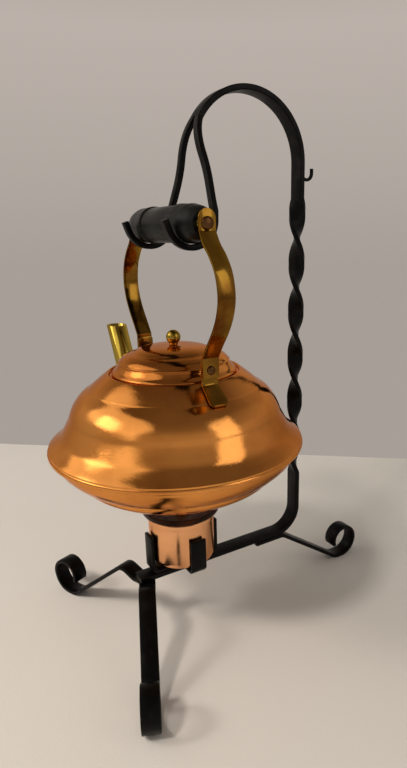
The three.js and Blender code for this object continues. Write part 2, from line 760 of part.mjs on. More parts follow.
// Height of an outline at a distance from the axis, beyond its highest point
function heightAt(line, x) {
  const i = line.findIndex((p, k) => k > 0 && p.x >= x && p.y < line[k - 1].y);
  const [a, b] = [line[i - 1], line[i]];
  return a.y + ((b.y - a.y) * (x - a.x)) / (b.x - a.x);
}

const STRAP_X = GRIP_HALF + COLLAR_LENGTH + 2 * GAP + STRAP_THICK / 2;
const LUG_X = STRAP_X - STRAP_THICK / 2 - GAP - LUG_THICK / 2;
const SHOULDER_Z = heightAt(flankLine(), LUG_X);
const STRAP_FOOT_Z = SHOULDER_Z + STRAP_FOOT_RISE;
const STRAP_NECK_Z = STRAP_FOOT_Z + STRAP_NECK;
const RIVET_Z = STRAP_FOOT_Z + RIVET_RISE;

// Sideways reach of the strap between its neck and its head, as parts of its height and its bow
const BOW_FORM = [[0, 0], [0.1, 0.26], [0.23, 0.62], [0.36, 0.88], [0.51, 1], [0.68, 0.88],
  [0.81, 0.57], [0.9, 0.24], [1, 0]];

function strap() {
  const top = HANDLE_RISE + STRAP_HEAD;
  const straight = HANDLE_RISE - ROD_HEAD_RADIUS - GAP;
  const bow = BOW_FORM.map(([rise, reach]) => (
    v2(STRAP_X + STRAP_BOW * reach, STRAP_NECK_Z + (straight - STRAP_NECK_Z) * rise)
  ));
  const round = STRAP_WIDTH / 2;
  const line = [v2(STRAP_X, STRAP_FOOT_Z), v2(STRAP_X, STRAP_FOOT_Z + STRAP_CHAMFER), ...smooth(bow, 24)];
  const widths = line.map((p, i) => (i === 0 ? STRAP_WIDTH - 2 * STRAP_CHAMFER : STRAP_WIDTH));
  const headSteps = 6;
  for (let i = 0; i <= headSteps; i += 1) {
    const a = (rad(80) * i) / headSteps;
    line.push(v2(STRAP_X, top - round + round * Math.sin(a)));
    widths.push(STRAP_WIDTH * Math.cos(a));
  }
  const reach = 4 * STRAP_THICK;
  const rodHole = pinAlongX(ROD_RADIUS + HOLE_PLAY, reach).translate(STRAP_X, 0, HANDLE_RISE);
  const rivetHole = pinAlongX(RIVET_RADIUS + HOLE_PLAY, reach).translate(STRAP_X, 0, RIVET_Z);
  const sheet = toSolid(sheetStrip(line, STRAP_THICK, widths));
  return toGeometry(sheet.subtract(toSolid(rodHole)).subtract(toSolid(rivetHole)));
}

// Angle lug: it stands behind the strap's foot and its own foot slopes down the shoulder
function lug() {
  const bend = { radius: 2 * LUG_THICK, turn: QUARTER_TURN - LUG_SLOPE };
  const high = STRAP_NECK_Z - LUG_THICK;
  const low = SHOULDER_Z + LUG_STAND;
  const line = tracePath(v2(LUG_X, high), -QUARTER_TURN, [
    { run: LUG_CHAMFER },
    { run: high - low - LUG_CHAMFER },
    bend,
    { run: LUG_FOOT_RUN },
    { run: LUG_CHAMFER },
  ]);
  const end = line.length - 1;
  const widths = line.map((p, i) => {
    const t = THREE.MathUtils.clamp((i - 2) / (end - 3), 0, 1);
    return STRAP_WIDTH + (LUG_END_WIDTH - STRAP_WIDTH) * t - (i === 0 || i === end ? 2 * LUG_CHAMFER : 0);
  });
  const hole = pinAlongX(RIVET_RADIUS + HOLE_PLAY, 4 * LUG_THICK).translate(LUG_X, 0, RIVET_Z);
  return toGeometry(toSolid(sheetStrip(line, LUG_THICK, widths)).subtract(toSolid(hole)));
}

// Domed head on a flat base, as points from the axis outward
const dome = (at, radius, height) => [0, 1, 2, 3].map((i) => {
  const a = rad(90 - 30 * i);
  return v2(i === 0 ? 0 : radius * Math.cos(a), at + height * Math.sin(a));
});

// Rivet along X through strap and lug, domed outside and with a flat head inside
function lugRivet() {
  const inner = LUG_X - LUG_THICK / 2 - GAP;
  const outer = STRAP_X + STRAP_THICK / 2 + GAP;
  return turnedAlongX([
    v2(0, inner - RIVET_HEAD), v2(RIVET_HEAD_RADIUS, inner - RIVET_HEAD), v2(RIVET_HEAD_RADIUS, inner),
    v2(RIVET_RADIUS, inner), v2(RIVET_RADIUS, outer),
    ...dome(outer, RIVET_HEAD_RADIUS, RIVET_HEAD).reverse(),
  ], SMALL_SIDES);
}

// Rod through the grip, peened over outside both straps
function handleRod() {
  const face = STRAP_X + STRAP_THICK / 2 + GAP;
  const half = [v2(ROD_RADIUS, face), ...dome(face, ROD_HEAD_RADIUS, ROD_HEAD).reverse()];
  return [...half.map((p) => v2(p.x, -p.y)).reverse(), ...half];
}

function gripProfile() {
  const bore = ROD_RADIUS + HOLE_PLAY;
  const barrel = v2(GRIP_BARREL_RADIUS, GRIP_MIDDLE_HALF + GRIP_EDGE);
  const seatIn = v2(GRIP_SEAT_RADIUS, HOOK_X - GRIP_SEAT_HALF);
  const seatOut = v2(GRIP_SEAT_RADIUS, HOOK_X + GRIP_SEAT_HALF);
  const shoulder = v2(GRIP_SHOULDER_RADIUS, GRIP_HALF - GRIP_END_RUN);
  const half = [
    v2(GRIP_MIDDLE_RADIUS, GRIP_MIDDLE_HALF),
    v2(GRIP_MIDDLE_RADIUS, GRIP_MIDDLE_HALF + GRIP_EDGE / 2),
    ...smooth(between(barrel, seatIn, BARREL_FORM), 3),
    ...smooth([...between(seatOut, shoulder, NECK_FORM), v2(GRIP_END_RADIUS, GRIP_HALF)], 5),
    v2(bore, GRIP_HALF),
  ];
  return [...half.map((p) => v2(p.x, -p.y)).reverse(), ...half];
}

function gripCollar() {
  const bore = ROD_RADIUS + HOLE_PLAY;
  const near = GRIP_HALF + GAP;
  const far = near + COLLAR_LENGTH;
  return turnedAlongX([
    v2(bore, near), v2(COLLAR_RADIUS, near), v2(COLLAR_RADIUS, far), v2(bore, far),
  ], SMALL_SIDES);
}

// Assembly

const both = [['right', 1], ['left', -1]];

// Piece that repeats at the other end of the grip, turned half a turn about Z
function addPair(group, name, make, look) {
  for (const [word, side] of both) {
    addPiece(group, `${name}_${word}`, make(), look).rotation.z = side > 0 ? 0 : Math.PI;
  }
}

function makeStand() {
  const stand = new THREE.Group();
  addPiece(stand, 'stand_bar', mainBar(), IRON);
  for (const [word, side] of both) {
    const leg = addPiece(stand, `leg_${word}`, frontLeg(side), IRON);
    leg.position.y = FRONT_APEX_Y;
    leg.rotation.z = side > 0 ? rad(FRONT_LEG_ANGLE) - QUARTER : 3 * QUARTER - rad(FRONT_LEG_ANGLE);
  }
  const rear = addPiece(stand, 'leg_rear', rearLeg(), IRON);
  rear.position.y = REAR_START_Y;
  rear.rotation.z = QUARTER;
  addPiece(stand, 'holder_strip_long', holderStrip(LONG_STRIP_Z), IRON).rotation.z = QUARTER;
  addPiece(stand, 'holder_strip_cross', holderStrip(CROSS_STRIP_Z), IRON);
  addPiece(stand, 'wire_hook', wireHook(), IRON);
  return stand;
}

function makeBurner() {
  const burner = new THREE.Group();
  burner.position.z = CUP_Z;
  addPiece(burner, 'burner_cup', burnerCup(), COPPER);
  addPiece(burner, 'burner_pan', burnerPan(), BURNT_METAL);
  addPiece(burner, 'wick_tube', wickTube(), BRASS);
  addPiece(burner, 'wick', wick(), COTTON);
  return burner;
}

function makeGrip() {
  const grip = new THREE.Group();
  grip.position.z = GRIP_Z;
  addPiece(grip, 'grip', turnedAlongX(gripProfile(), GRIP_SIDES), BLACK_WOOD);
  return grip;
}

function makeKettle() {
  const kettle = new THREE.Group();
  kettle.position.z = GRIP_Z - HANDLE_RISE;
  addPiece(kettle, 'kettle_upper', piercedUpperShell(), COPPER);
  addPiece(kettle, 'kettle_lower', turned(lowerShell(), BODY_SIDES), COPPER);
  addPiece(kettle, 'spout', spout(), BRASS);
  addPiece(kettle, 'lid', piercedLid(), COPPER);
  addPiece(kettle, 'lid_knob', turned(lidKnob(), SMALL_SIDES), BRASS);
  addPiece(kettle, 'lid_nut', turned(lidNut(), 6), BRASS);
  addPair(kettle, 'handle_strap', strap, BRASS);
  addPair(kettle, 'handle_lug', lug, BRASS);
  addPair(kettle, 'lug_rivet', () => lugRivet().translate(0, 0, RIVET_Z), BRASS);
  addPair(kettle, 'grip_collar', () => gripCollar().translate(0, 0, HANDLE_RISE), BRASS);
  addPiece(kettle, 'handle_rod', turnedAlongX(handleRod(), SMALL_SIDES), BRASS).position.z = HANDLE_RISE;
  return kettle;
}

// The origin is the middle of the whole object's box, on the floor
const whole = new THREE.Group();
whole.add(makeStand(), makeBurner(), makeGrip(), makeKettle());
whole.updateMatrixWorld(true);
const box = new THREE.Box3().setFromObject(whole, true);
whole.position.set(-(box.min.x + box.max.x) / 2, -(box.min.y + box.max.y) / 2, -box.min.z);

export default whole;
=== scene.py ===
import json
import math

import bpy
from mathutils import Matrix, Vector


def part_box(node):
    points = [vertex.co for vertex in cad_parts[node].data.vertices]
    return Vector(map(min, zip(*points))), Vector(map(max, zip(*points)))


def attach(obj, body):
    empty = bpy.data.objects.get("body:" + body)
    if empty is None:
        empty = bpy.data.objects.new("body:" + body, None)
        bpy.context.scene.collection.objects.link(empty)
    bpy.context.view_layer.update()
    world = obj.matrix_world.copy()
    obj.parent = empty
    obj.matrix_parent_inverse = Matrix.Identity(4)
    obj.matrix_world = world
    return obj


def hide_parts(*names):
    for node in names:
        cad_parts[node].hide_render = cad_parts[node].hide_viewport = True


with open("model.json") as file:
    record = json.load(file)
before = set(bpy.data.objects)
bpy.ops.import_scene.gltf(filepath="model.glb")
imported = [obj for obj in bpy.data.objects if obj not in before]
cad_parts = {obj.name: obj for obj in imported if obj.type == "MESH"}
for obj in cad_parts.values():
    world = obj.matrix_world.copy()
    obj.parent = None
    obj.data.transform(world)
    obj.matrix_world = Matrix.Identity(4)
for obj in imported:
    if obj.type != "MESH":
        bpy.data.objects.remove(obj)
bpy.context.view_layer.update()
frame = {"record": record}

MM = 0.001

# Gap between pieces that touch
GAP = 0.3

# Distance within which the points of one piece become one
WELD = 0.002

# Main bar of the stand
BAR_WIDTH = 12
BAR_THICK = 4
BAR_CORNER = 0.7
BAR_TOP = 49
BAR_FRONT = -37
COLUMN_Y = 106.5
BEND_RADIUS = 20
TWIST_RISE = 48.5
TWIST_DROP = 24
TWIST_TURNS = 3
STAND_HEIGHT = 387.5

# Fork and hooks at the end of the bar
HOOK_RADIUS = 16.5
HOOK_ARC = 160
HOOK_TIP = 6
HOOK_X = 32
SLIT_ANGLE = 32
SLIT_WIDTH = 1
TINE_OVERLAP = 3
TINE_INSET = 0.1
TINE_STRAIGHT = 5
TINE_SPREAD = 0.95
TINE_X = 31.5
TINE_SHORT_CUT = 2.5

# Legs
LEG_WIDTH = 12
LEG_THICK = 3
FRONT_SLOPE = 39
REAR_SLOPE = 34.5
LEG_BEND = 8
FRONT_APEX_Y = -30
FRONT_LEG_ANGLE = 67
FRONT_ROOT = 7.5
HUMP_TURN = 24
HUMP_RUN = 7.5
REAR_START_Y = 65
REAR_ROOT = 25
FOOT_FLAT = 3
SCROLL_RADIUS = 14.2
SCROLL_TIGHTEN = 1.6
SCROLL_QUARTERS = 3
SCROLL_END_RADIUS = 8.5
SCROLL_END_TURN = 30

# Burner holder and wire hook
HOLDER_WIDTH = 12
HOLDER_THICK = 2.7
HOLDER_BEND = 3.7
HOLDER_EDGE = 0.6
PRONG_TOP = 79
PRONG_PLAY = 0.5
WIRE_RADIUS = 1.15
WIRE_HOOK_RADIUS = 4.7
WIRE_HOOK_DROP = 6
WIRE_TIP = 3.3

# Share of the wire's radius cut off each corner of its square section, which makes it round
WIRE_CORNER = 0.58

# Burner, with heights above the cup's bottom
CUP_RADIUS = 24.4
CUP_HEIGHT = 36.2
CUP_CORNER = 5
CUP_WALL = 1
CUP_LIP = 0.6
CUP_BAND = 3.6
CUP_BAND_STEP = 0.5
PAN_RISE = 6.8
PAN_RADIUS = 30
PAN_WALL = 1
PAN_PLAY = 0.5
PAN_SKIRT = 5
PAN_EDGE = 0.15
PAN_FORM = [(0, 0), (0.45, 0.08), (0.82, 0.32), (0.96, 0.65), (1, 1)]
WICK_TUBE_RADIUS = 6
WICK_TUBE_WALL = 0.8
WICK_TUBE_FLANGE = 10
WICK_TUBE_SHOW = 2.8
WICK_TUBE_EDGE = 0.2
WICK_SHOW = 2
WICK_EDGE = 1.2
WICK_DIMPLE = 0.3

# Kettle, with heights above its own base
SHEET = 1
BASE_RADIUS = 59.3
GROOVE_RADIUS = 72.5
GROOVE_Z = 11.4
GROOVE_STEP = 2.2
GROOVE_RISE = 0.6
RIM_RADIUS = 90
RIM_Z = 30.5
WAIST_RADIUS = 74.5
WAIST_Z = 51
CREASE_RADIUS = 58.8
CREASE_Z = 71
CREASE_STEP = 0.1
CREST_RADIUS = 46
CREST_Z = 81
SEAT_DEPTH = 1.5
SEAT_RADIUS = 44.4
MOUTH_RADIUS = 39.6
MOUTH_LIP = 4
FLANGE_WIDTH = 1.3
RIM_ROUND = 0.8
FOLD_FLATTENING = 0.8
HEM_PLAY = 0.2
BOWL_EDGE = 0.15

# Curves of the kettle from one of the places above to the next, as shares of the way out and down
SHOULDER_FORM = [(0.31, 0.26), (0.63, 0.58), (0.96, 0.94)]
FLANK_FORM = [(0.09, 0.045), (0.45, 0.25), (0.75, 0.55), (0.91, 0.8), (1, 1)]
FLARE_FORM = [(0.21, 0.32), (0.41, 0.58), (0.65, 0.77), (0.9, 0.93), (1, 1)]
BOWL_FORM = [(0.06, 0.0), (0.4, 0.26), (0.7, 0.53), (0.95, 0.85), (1, 1)]
BASE_FORM = [(0, 0), (0.2, 0.08), (0.64, 0.42), (0.87, 0.7), (0.97, 0.93)]

# Lid
LID_RADIUS = 43.5
LID_RISE = 18.4
LID_RING_RADIUS = 28
LID_RING_DROP = 4.1
LID_BEAD_RADIUS = 38.6
LID_BEAD_RISE = 8
LID_BEAD_STEP = 0.5
LID_CROWN_FORM = [(0, 0), (0.35, 0.05), (0.65, 0.24), (0.85, 0.56), (0.97, 0.93)]
LID_SLOPE_FORM = [(0.04, 0.02), (0.38, 0.19), (0.72, 0.51), (0.92, 0.87)]
LID_SIDE_FORM = [(0.12, 0.27), (0.41, 0.55), (0.78, 0.75), (0.9, 0.87)]
COLLAR_PLAY = 0.7
COLLAR_DEPTH = 8
VENT_RADIUS = 1.5
VENT_DISTANCE = 8.5
VENT_EDGE = 0.1
FINE_EDGE = 0.12
KNOB_RADIUS = 5
KNOB_FOOT_RADIUS = 3
KNOB_STALK = 0.2
STEM_RADIUS = 1.5
NUT_RADIUS = 3.8
NUT_HEIGHT = 2.2
NUT_EDGE = 0.25

# Handle, with the grip's height above the floor and then above the kettle's base
GRIP_Z = 298
HANDLE_RISE = 178
STRAP_WIDTH = 11.4
STRAP_THICK = 1.5
STRAP_BOW = 20.9
STRAP_FOOT_RISE = 6.5
STRAP_NECK = 13
STRAP_HEAD = 8.5
STRAP_HEAD_ARC = 84
STRAP_FOOT_CORNER = 1
BRASS_EDGE = 0.35
BOW_FORM = [(0, 0), (0.1, 0.26), (0.23, 0.62), (0.36, 0.88), (0.51, 1), (0.68, 0.88),
            (0.81, 0.57), (0.9, 0.24), (1, 0)]
LUG_THICK = 1.5
LUG_END_WIDTH = 12.8
LUG_FOOT_RUN = 14
LUG_SLOPE = 39
LUG_STAND = 3.2
LUG_TOP_CORNER = 1.5
LUG_END_ROUND = 3.2
LUG_END_ARC = 88
RIVET_RISE = 5
RIVET_RADIUS = 1.6
RIVET_HEAD_RADIUS = 2.8
RIVET_HEAD = 1.2
ROD_RADIUS = 2.5
ROD_HEAD_RADIUS = 4
ROD_HEAD = 1.8
ROD_EDGE = 0.2
HOLE_PLAY = 0.3
GRIP_HALF = 48
GRIP_MIDDLE_RADIUS = 11.6
GRIP_MIDDLE_HALF = 19.5
GRIP_BARREL_RADIUS = 12.3
GRIP_SEAT_RADIUS = 11.8
GRIP_SEAT_HALF = 3.6
GRIP_SHOULDER_RADIUS = 10
GRIP_END_RADIUS = 7.5
GRIP_END_RUN = 4
GRIP_EDGE = 0.8
GRIP_GROOVE = 0.7
GRIP_ROUNDING = 0.3
BARREL_FORM = [(0, 0), (0.4, 0.63), (1, 1)]
NECK_FORM = [(0, 0), (0.33, 0.36), (1, 1)]
COLLAR_RADIUS = 5.6
COLLAR_LENGTH = 2
COLLAR_EDGE = 0.25

# Spout
SPOUT_RADIUS = 8.1
SPOUT_WALL = 0.8
SPOUT_TIP_X = 111.2
SPOUT_TIP_Z = 97.8
SPOUT_LEAN = 28.5
SPOUT_HOLE_RADIUS = 5
SPOUT_HOLE_RISE = 4
SPOUT_EDGE = 0.25

# Places and lengths that follow from the sizes above
SEAT_Z = CREST_Z - SEAT_DEPTH
FLANGE_TOP = RIM_Z - 2 * GAP
HEM_TOP = FLANGE_TOP - SHEET - GAP
HEM_BOTTOM = HEM_TOP - SHEET
LID_Z = SEAT_Z + GAP
LID_TOP = LID_Z + LID_RISE
STRAP_X = GRIP_HALF + COLLAR_LENGTH + 2 * GAP + STRAP_THICK / 2
LUG_X = STRAP_X - STRAP_THICK / 2 - GAP - LUG_THICK / 2
BAR_Z = BAR_TOP - BAR_THICK / 2
ARCH_RADIUS = (COLUMN_Y - HOOK_RADIUS) / 2
ARCH_Y = COLUMN_Y - ARCH_RADIUS
ARCH_Z = STAND_HEIGHT - BAR_THICK / 2 - ARCH_RADIUS
HOOK_Z = GRIP_Z - GRIP_SEAT_RADIUS - GAP - BAR_THICK / 2 + HOOK_RADIUS
SLIT_RUN = math.radians(SLIT_ANGLE) * ARCH_RADIUS
HOOK_START = SLIT_RUN + ARCH_Z - HOOK_Z
SPREAD_END = HOOK_START - TINE_STRAIGHT
TINE_ROOT_X = (BAR_WIDTH + SLIT_WIDTH) / 4
LEG_Z = BAR_TOP - BAR_THICK - GAP - LEG_THICK / 2
LONG_STRIP_Z = BAR_TOP + GAP + HOLDER_THICK / 2
CROSS_STRIP_Z = LONG_STRIP_Z + HOLDER_THICK + GAP
CUP_LIP_PLACE = CUP_RADIUS + CUP_BAND_STEP - CUP_LIP
TUBE_TOP = CUP_HEIGHT + WICK_TUBE_SHOW
TUBE_FOOT = CUP_WALL + GAP


# Places in millimetres from the kettle's axis on the floor, turned into the frame's metres

def middle(node):
    low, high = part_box(node)
    return (low + high) / 2


AXIS = Vector((middle("kettle_lower").x, middle("kettle_lower").y, 0))
KETTLE = AXIS + Vector((0, 0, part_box("kettle_lower")[0].z))
BURNER = AXIS + Vector((0, 0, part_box("burner_cup")[0].z))
GRIP = AXIS + Vector((0, 0, GRIP_Z * MM))


# Lines

def smooth(points, count):
    """Rounded line through points, in a number of equal shares of its length in points."""
    line = []
    last = len(points) - 1
    for i in range(count + 1):
        place = i / count * last
        k = min(int(place), last - 1)
        t = place - k
        a, b, c, d = (points[min(max(k + n, 0), last)] for n in (-1, 0, 1, 2))
        line.append(tuple(
            q + t * (r - p) / 2 + t * t * (2 * p - 5 * q + 4 * r - s) / 2
            + t ** 3 * (3 * q - p - 3 * r + s) / 2
            for p, q, r, s in zip(a, b, c, d)
        ))
    return line


def between(start, end, form):
    """Points at shares of the way from one point to another in each direction."""
    return [(start[0] + (end[0] - start[0]) * u, start[1] + (end[1] - start[1]) * v) for u, v in form]


def arc(x, y, radius, first, last, count):
    """Points on a circle about a place, from one angle to another in degrees."""
    angles = [math.radians(first + (last - first) * i / count) for i in range(count + 1)]
    return [(x + radius * math.cos(a), y + radius * math.sin(a)) for a in angles]


def trace(start, heading, moves, finest=6):
    """Line drawn by straight runs, ("run", length), and turns, ("turn", radius, degrees)."""
    x, y = start
    angle = math.radians(heading)
    points = [start]
    for kind, size, *turn in moves:
        count = 1 if kind == "run" else math.ceil(abs(turn[0]) / finest)
        part = 0 if kind == "run" else math.radians(turn[0]) / count
        length = size if kind == "run" else 2 * size * math.sin(abs(part) / 2)
        for _ in range(count):
            x += length * math.cos(angle + part / 2)
            y += length * math.sin(angle + part / 2)
            points.append((x, y))
            angle += part
    return points


def offset(line, distance):
    """Line at a distance to the left of another."""
    moved = []
    for i, (x, y) in enumerate(line):
        (ax, ay), (bx, by) = line[max(i - 1, 0)], line[min(i + 1, len(line) - 1)]
        length = math.hypot(bx - ax, by - ay)
        moved.append((x - (by - ay) / length * distance, y + (bx - ax) / length * distance))
    return moved


# Modelling steps

def deselect():
    if bpy.context.mode != "OBJECT":
        bpy.ops.object.mode_set(mode="OBJECT")
    bpy.ops.object.select_all(action="DESELECT")


def only(piece):
    deselect()
    piece.select_set(True)
    bpy.context.view_layer.objects.active = piece


def edit_all(piece):
    only(piece)
    bpy.ops.object.mode_set(mode="EDIT")
    bpy.ops.mesh.select_all(action="SELECT")


def name_it(name):
    piece = bpy.context.object
    piece.name = name
    piece.data.name = name
    return piece


def apply_place(piece):
    only(piece)
    bpy.ops.object.transform_apply(location=True, rotation=True, scale=True)


def apply_modifier(piece, kind, **settings):
    only(piece)
    modifier = piece.modifiers.new(kind.lower(), kind)
    for key, value in settings.items():
        setattr(modifier, key, value)
    bpy.ops.object.modifier_apply(modifier=modifier.name)


def round_edges(piece, width, segments=2, angle=35):
    apply_modifier(piece, "BEVEL", width=width * MM, segments=segments, limit_method="ANGLE",
                   angle_limit=math.radians(angle), use_clamp_overlap=True)


def shade(piece, angle=35):
    only(piece)
    bpy.ops.object.shade_smooth_by_angle(angle=math.radians(angle))


def point_out(piece):
    edit_all(piece)
    bpy.ops.mesh.remove_doubles(threshold=WELD * MM)
    bpy.ops.mesh.normals_make_consistent(inside=False)
    bpy.ops.object.mode_set(mode="OBJECT")


def cut_away(piece, cutter):
    apply_modifier(piece, "BOOLEAN", object=cutter, operation="DIFFERENCE", solver="EXACT")
    bpy.data.objects.remove(cutter)


def join_on(piece, other):
    apply_modifier(piece, "BOOLEAN", object=other, operation="UNION", solver="EXACT")
    bpy.data.objects.remove(other)


def drawn_line(name, places):
    """Chain of edges, extruded point by point, left in edit mode with all of it selected."""
    deselect()
    bpy.ops.mesh.primitive_plane_add(size=MM, location=places[0])
    piece = name_it(name)
    bpy.ops.object.mode_set(mode="EDIT")
    bpy.ops.mesh.select_all(action="SELECT")
    bpy.ops.mesh.merge(type="CENTER")
    for a, b in zip(places, places[1:]):
        bpy.ops.mesh.extrude_vertices_move(TRANSFORM_OT_translate={"value": tuple(b - a)})
    bpy.ops.mesh.select_all(action="SELECT")
    return piece


def turned(name, profile, centre, sides=96, along="Z", bevel=0.0):
    """Piece turned about an axis, from the radius and height of its outline in millimetres."""
    closed = profile if profile[0][0] == 0 else [*profile, profile[0]]
    if along == "Z":
        places = [centre + Vector((r, 0, h)) * MM for r, h in closed]
    else:
        places = [centre + Vector((h, 0, r)) * MM for r, h in closed]
    piece = drawn_line(name, places)
    direction = (0, 0, 1) if along == "Z" else (1, 0, 0)
    bpy.ops.mesh.spin(steps=sides, angle=2 * math.pi, center=centre, axis=direction)
    apply_place(piece)
    point_out(piece)
    if bevel:
        round_edges(piece, bevel)
    shade(piece)
    return piece


def ribbon(name, line, widths, thick, corner=0.5):
    """Flat strip with rounded edges along a line in the X-Z plane, with a width at each point."""
    start = Vector((line[0][0], -widths[0] / 2, line[0][1])) * MM
    piece = drawn_line(name, [start, start + Vector((0, widths[0], 0)) * MM])
    for i in range(1, len(line)):
        (ax, az), (bx, bz) = line[i - 1], line[i]
        step = Vector((bx - ax, 0, bz - az)) * MM
        bpy.ops.mesh.extrude_edges_move(TRANSFORM_OT_translate={"value": tuple(step)})
        if widths[i] != widths[i - 1]:
            bpy.ops.transform.resize(
                value=(1, widths[i] / widths[i - 1], 1), center_override=(bx * MM, 0, bz * MM),
            )
    apply_place(piece)
    apply_modifier(piece, "SOLIDIFY", thickness=thick * MM, offset=0, use_even_offset=True)
    point_out(piece)
    round_edges(piece, corner)
    shade(piece)
    return piece


def swept(name, width, thick, corner, stations):
    """Bar whose section is carried through places and turns, step by step."""
    deselect()
    bpy.ops.mesh.primitive_plane_add(size=1, location=(0, 0, 0))
    piece = name_it(name)
    bpy.ops.object.mode_set(mode="EDIT")
    bpy.ops.mesh.select_all(action="SELECT")
    bpy.ops.transform.resize(value=(width * MM, thick * MM, 1), center_override=(0, 0, 0))
    bpy.ops.mesh.bevel(affect="VERTICES", offset=corner * MM, segments=3)
    place = Vector()
    turn = Matrix.Identity(3)
    least_turn = 1e-7
    for i, (point, matrix) in enumerate(stations):
        target = AXIS + point * MM
        if i == 0:
            bpy.ops.transform.translate(value=tuple(target - place))
        else:
            bpy.ops.mesh.extrude_region_move(TRANSFORM_OT_translate={"value": tuple(target - place)})
        angles = (matrix @ turn.transposed()).to_euler("XYZ")
        for axis, angle in zip("XYZ", angles):
            if abs(angle) > least_turn:
                bpy.ops.transform.rotate(
                    value=-angle, orient_axis=axis, center_override=tuple(target),
                )
        place, turn = target, matrix
    apply_place(piece)
    point_out(piece)
    shade(piece)
    return piece


# Shared effects of the finishes

def new_group(name, inputs, outputs):
    tree = bpy.data.node_groups.new(name, "ShaderNodeTree")
    for label, kind in inputs:
        tree.interface.new_socket(name=label, in_out="INPUT", socket_type=kind)
    for label, kind in outputs:
        tree.interface.new_socket(name=label, in_out="OUTPUT", socket_type=kind)
    return tree, tree.nodes.new("NodeGroupInput"), tree.nodes.new("NodeGroupOutput")


def add(tree, kind, settings=None, **inputs):
    """New node with some of its settings and input values."""
    node = tree.nodes.new(kind)
    for key, value in (settings or {}).items():
        setattr(node, key, value)
    for key, value in inputs.items():
        node.inputs[key.replace("_", " ")].default_value = value
    return node


def feed(tree, source, socket):
    """Links a socket to another node's value, or gives it a plain number or colour."""
    if isinstance(source, bpy.types.NodeSocket):
        tree.links.new(source, socket)
    else:
        socket.default_value = source


def worked_out(tree, operation, *sources):
    """Result of an operation on values of other nodes and plain numbers."""
    node = add(tree, "ShaderNodeMath", {"operation": operation})
    for source, socket in zip(sources, node.inputs):
        feed(tree, source, socket)
    return node.outputs[0]


def mapped(tree, source, low, high, to_low=0, to_high=1):
    """Value carried from one range to another, and held inside it."""
    node = add(
        tree, "ShaderNodeMapRange", None,
        From_Min=low, From_Max=high, To_Min=to_low, To_Max=to_high,
    )
    tree.links.new(source, node.inputs["Value"])
    return node.outputs["Result"]


def noise(tree, vector, scale, detail=3.0, stretch=None):
    """Noise value at a place; stretch scales the place first."""
    if stretch:
        mapping = add(tree, "ShaderNodeMapping", None, Scale=stretch)
        tree.links.new(vector, mapping.inputs["Vector"])
        vector = mapping.outputs["Vector"]
    node = add(tree, "ShaderNodeTexNoise", None, Detail=detail)
    feed(tree, scale, node.inputs["Scale"])
    tree.links.new(vector, node.inputs["Vector"])
    return node.outputs[0]


def blend(tree, share, first, second):
    """Colour that changes from one to another with a share."""
    share_socket, first_socket, second_socket, mixed_socket = 0, 6, 7, 2
    mix = add(tree, "ShaderNodeMix", {"data_type": "RGBA"})
    feed(tree, share, mix.inputs[share_socket])
    feed(tree, first, mix.inputs[first_socket])
    feed(tree, second, mix.inputs[second_socket])
    return mix.outputs[mixed_socket]


def tarnish_group():
    """Cloudy change of colour between a clean and a tarnished metal."""
    tree, given, made = new_group(
        "tarnish",
        [("Vector", "NodeSocketVector"), ("Scale", "NodeSocketFloat"), ("Amount", "NodeSocketFloat"),
         ("Clean", "NodeSocketColor"), ("Tarnished", "NodeSocketColor")],
        [("Color", "NodeSocketColor")],
    )
    cloud = noise(tree, given.outputs["Vector"], given.outputs["Scale"], detail=5)
    share = worked_out(tree, "MULTIPLY", mapped(tree, cloud, 0.38, 0.68), given.outputs["Amount"])
    colour = blend(tree, share, given.outputs["Clean"], given.outputs["Tarnished"])
    tree.links.new(colour, made.inputs["Color"])
    return tree


def polish_group():
    """Roughness of a polished surface with smears, and height of its scratches and soft dents."""
    tree, given, made = new_group(
        "polish",
        [("Vector", "NodeSocketVector"), ("Smooth", "NodeSocketFloat"), ("Smeared", "NodeSocketFloat"),
         ("Scratches", "NodeSocketFloat"), ("Dents", "NodeSocketFloat")],
        [("Roughness", "NodeSocketFloat"), ("Height", "NodeSocketFloat")],
    )
    vector = given.outputs["Vector"]
    smear_scale, scratch_scale, dent_scale = 38, 420, 26
    smear = noise(tree, vector, smear_scale, detail=4, stretch=(1, 1, 2.5))
    rough = add(tree, "ShaderNodeMix", {"data_type": "FLOAT"})
    tree.links.new(mapped(tree, smear, 0.42, 0.7), rough.inputs[0])
    tree.links.new(given.outputs["Smooth"], rough.inputs[2])
    tree.links.new(given.outputs["Smeared"], rough.inputs[3])
    tree.links.new(rough.outputs[0], made.inputs["Roughness"])
    scratch = noise(tree, vector, scratch_scale, detail=2, stretch=(1, 1, 9))
    dent = noise(tree, vector, dent_scale, detail=1)
    fine = worked_out(tree, "MULTIPLY", scratch, given.outputs["Scratches"])
    height = worked_out(tree, "MULTIPLY_ADD", dent, given.outputs["Dents"], fine)
    tree.links.new(height, made.inputs["Height"])
    return tree


def forge_group():
    """Height of hammered and scaled iron, and a mask of its rubbed spots."""
    tree, given, made = new_group(
        "forge_marks",
        [("Vector", "NodeSocketVector"), ("Hammer", "NodeSocketFloat"),
         ("Scale Grain", "NodeSocketFloat")],
        [("Height", "NodeSocketFloat"), ("Rubbed", "NodeSocketFloat")],
    )
    vector = given.outputs["Vector"]
    blow = noise(tree, vector, given.outputs["Hammer"], detail=1)
    grain = noise(tree, vector, given.outputs["Scale Grain"], detail=4)
    grain_share, rubbed_scale = 0.22, 95
    height = worked_out(tree, "MULTIPLY_ADD", grain, grain_share, blow)
    tree.links.new(height, made.inputs["Height"])
    rubbed = mapped(tree, noise(tree, vector, rubbed_scale, detail=6), 0.55, 0.78)
    tree.links.new(rubbed, made.inputs["Rubbed"])
    return tree


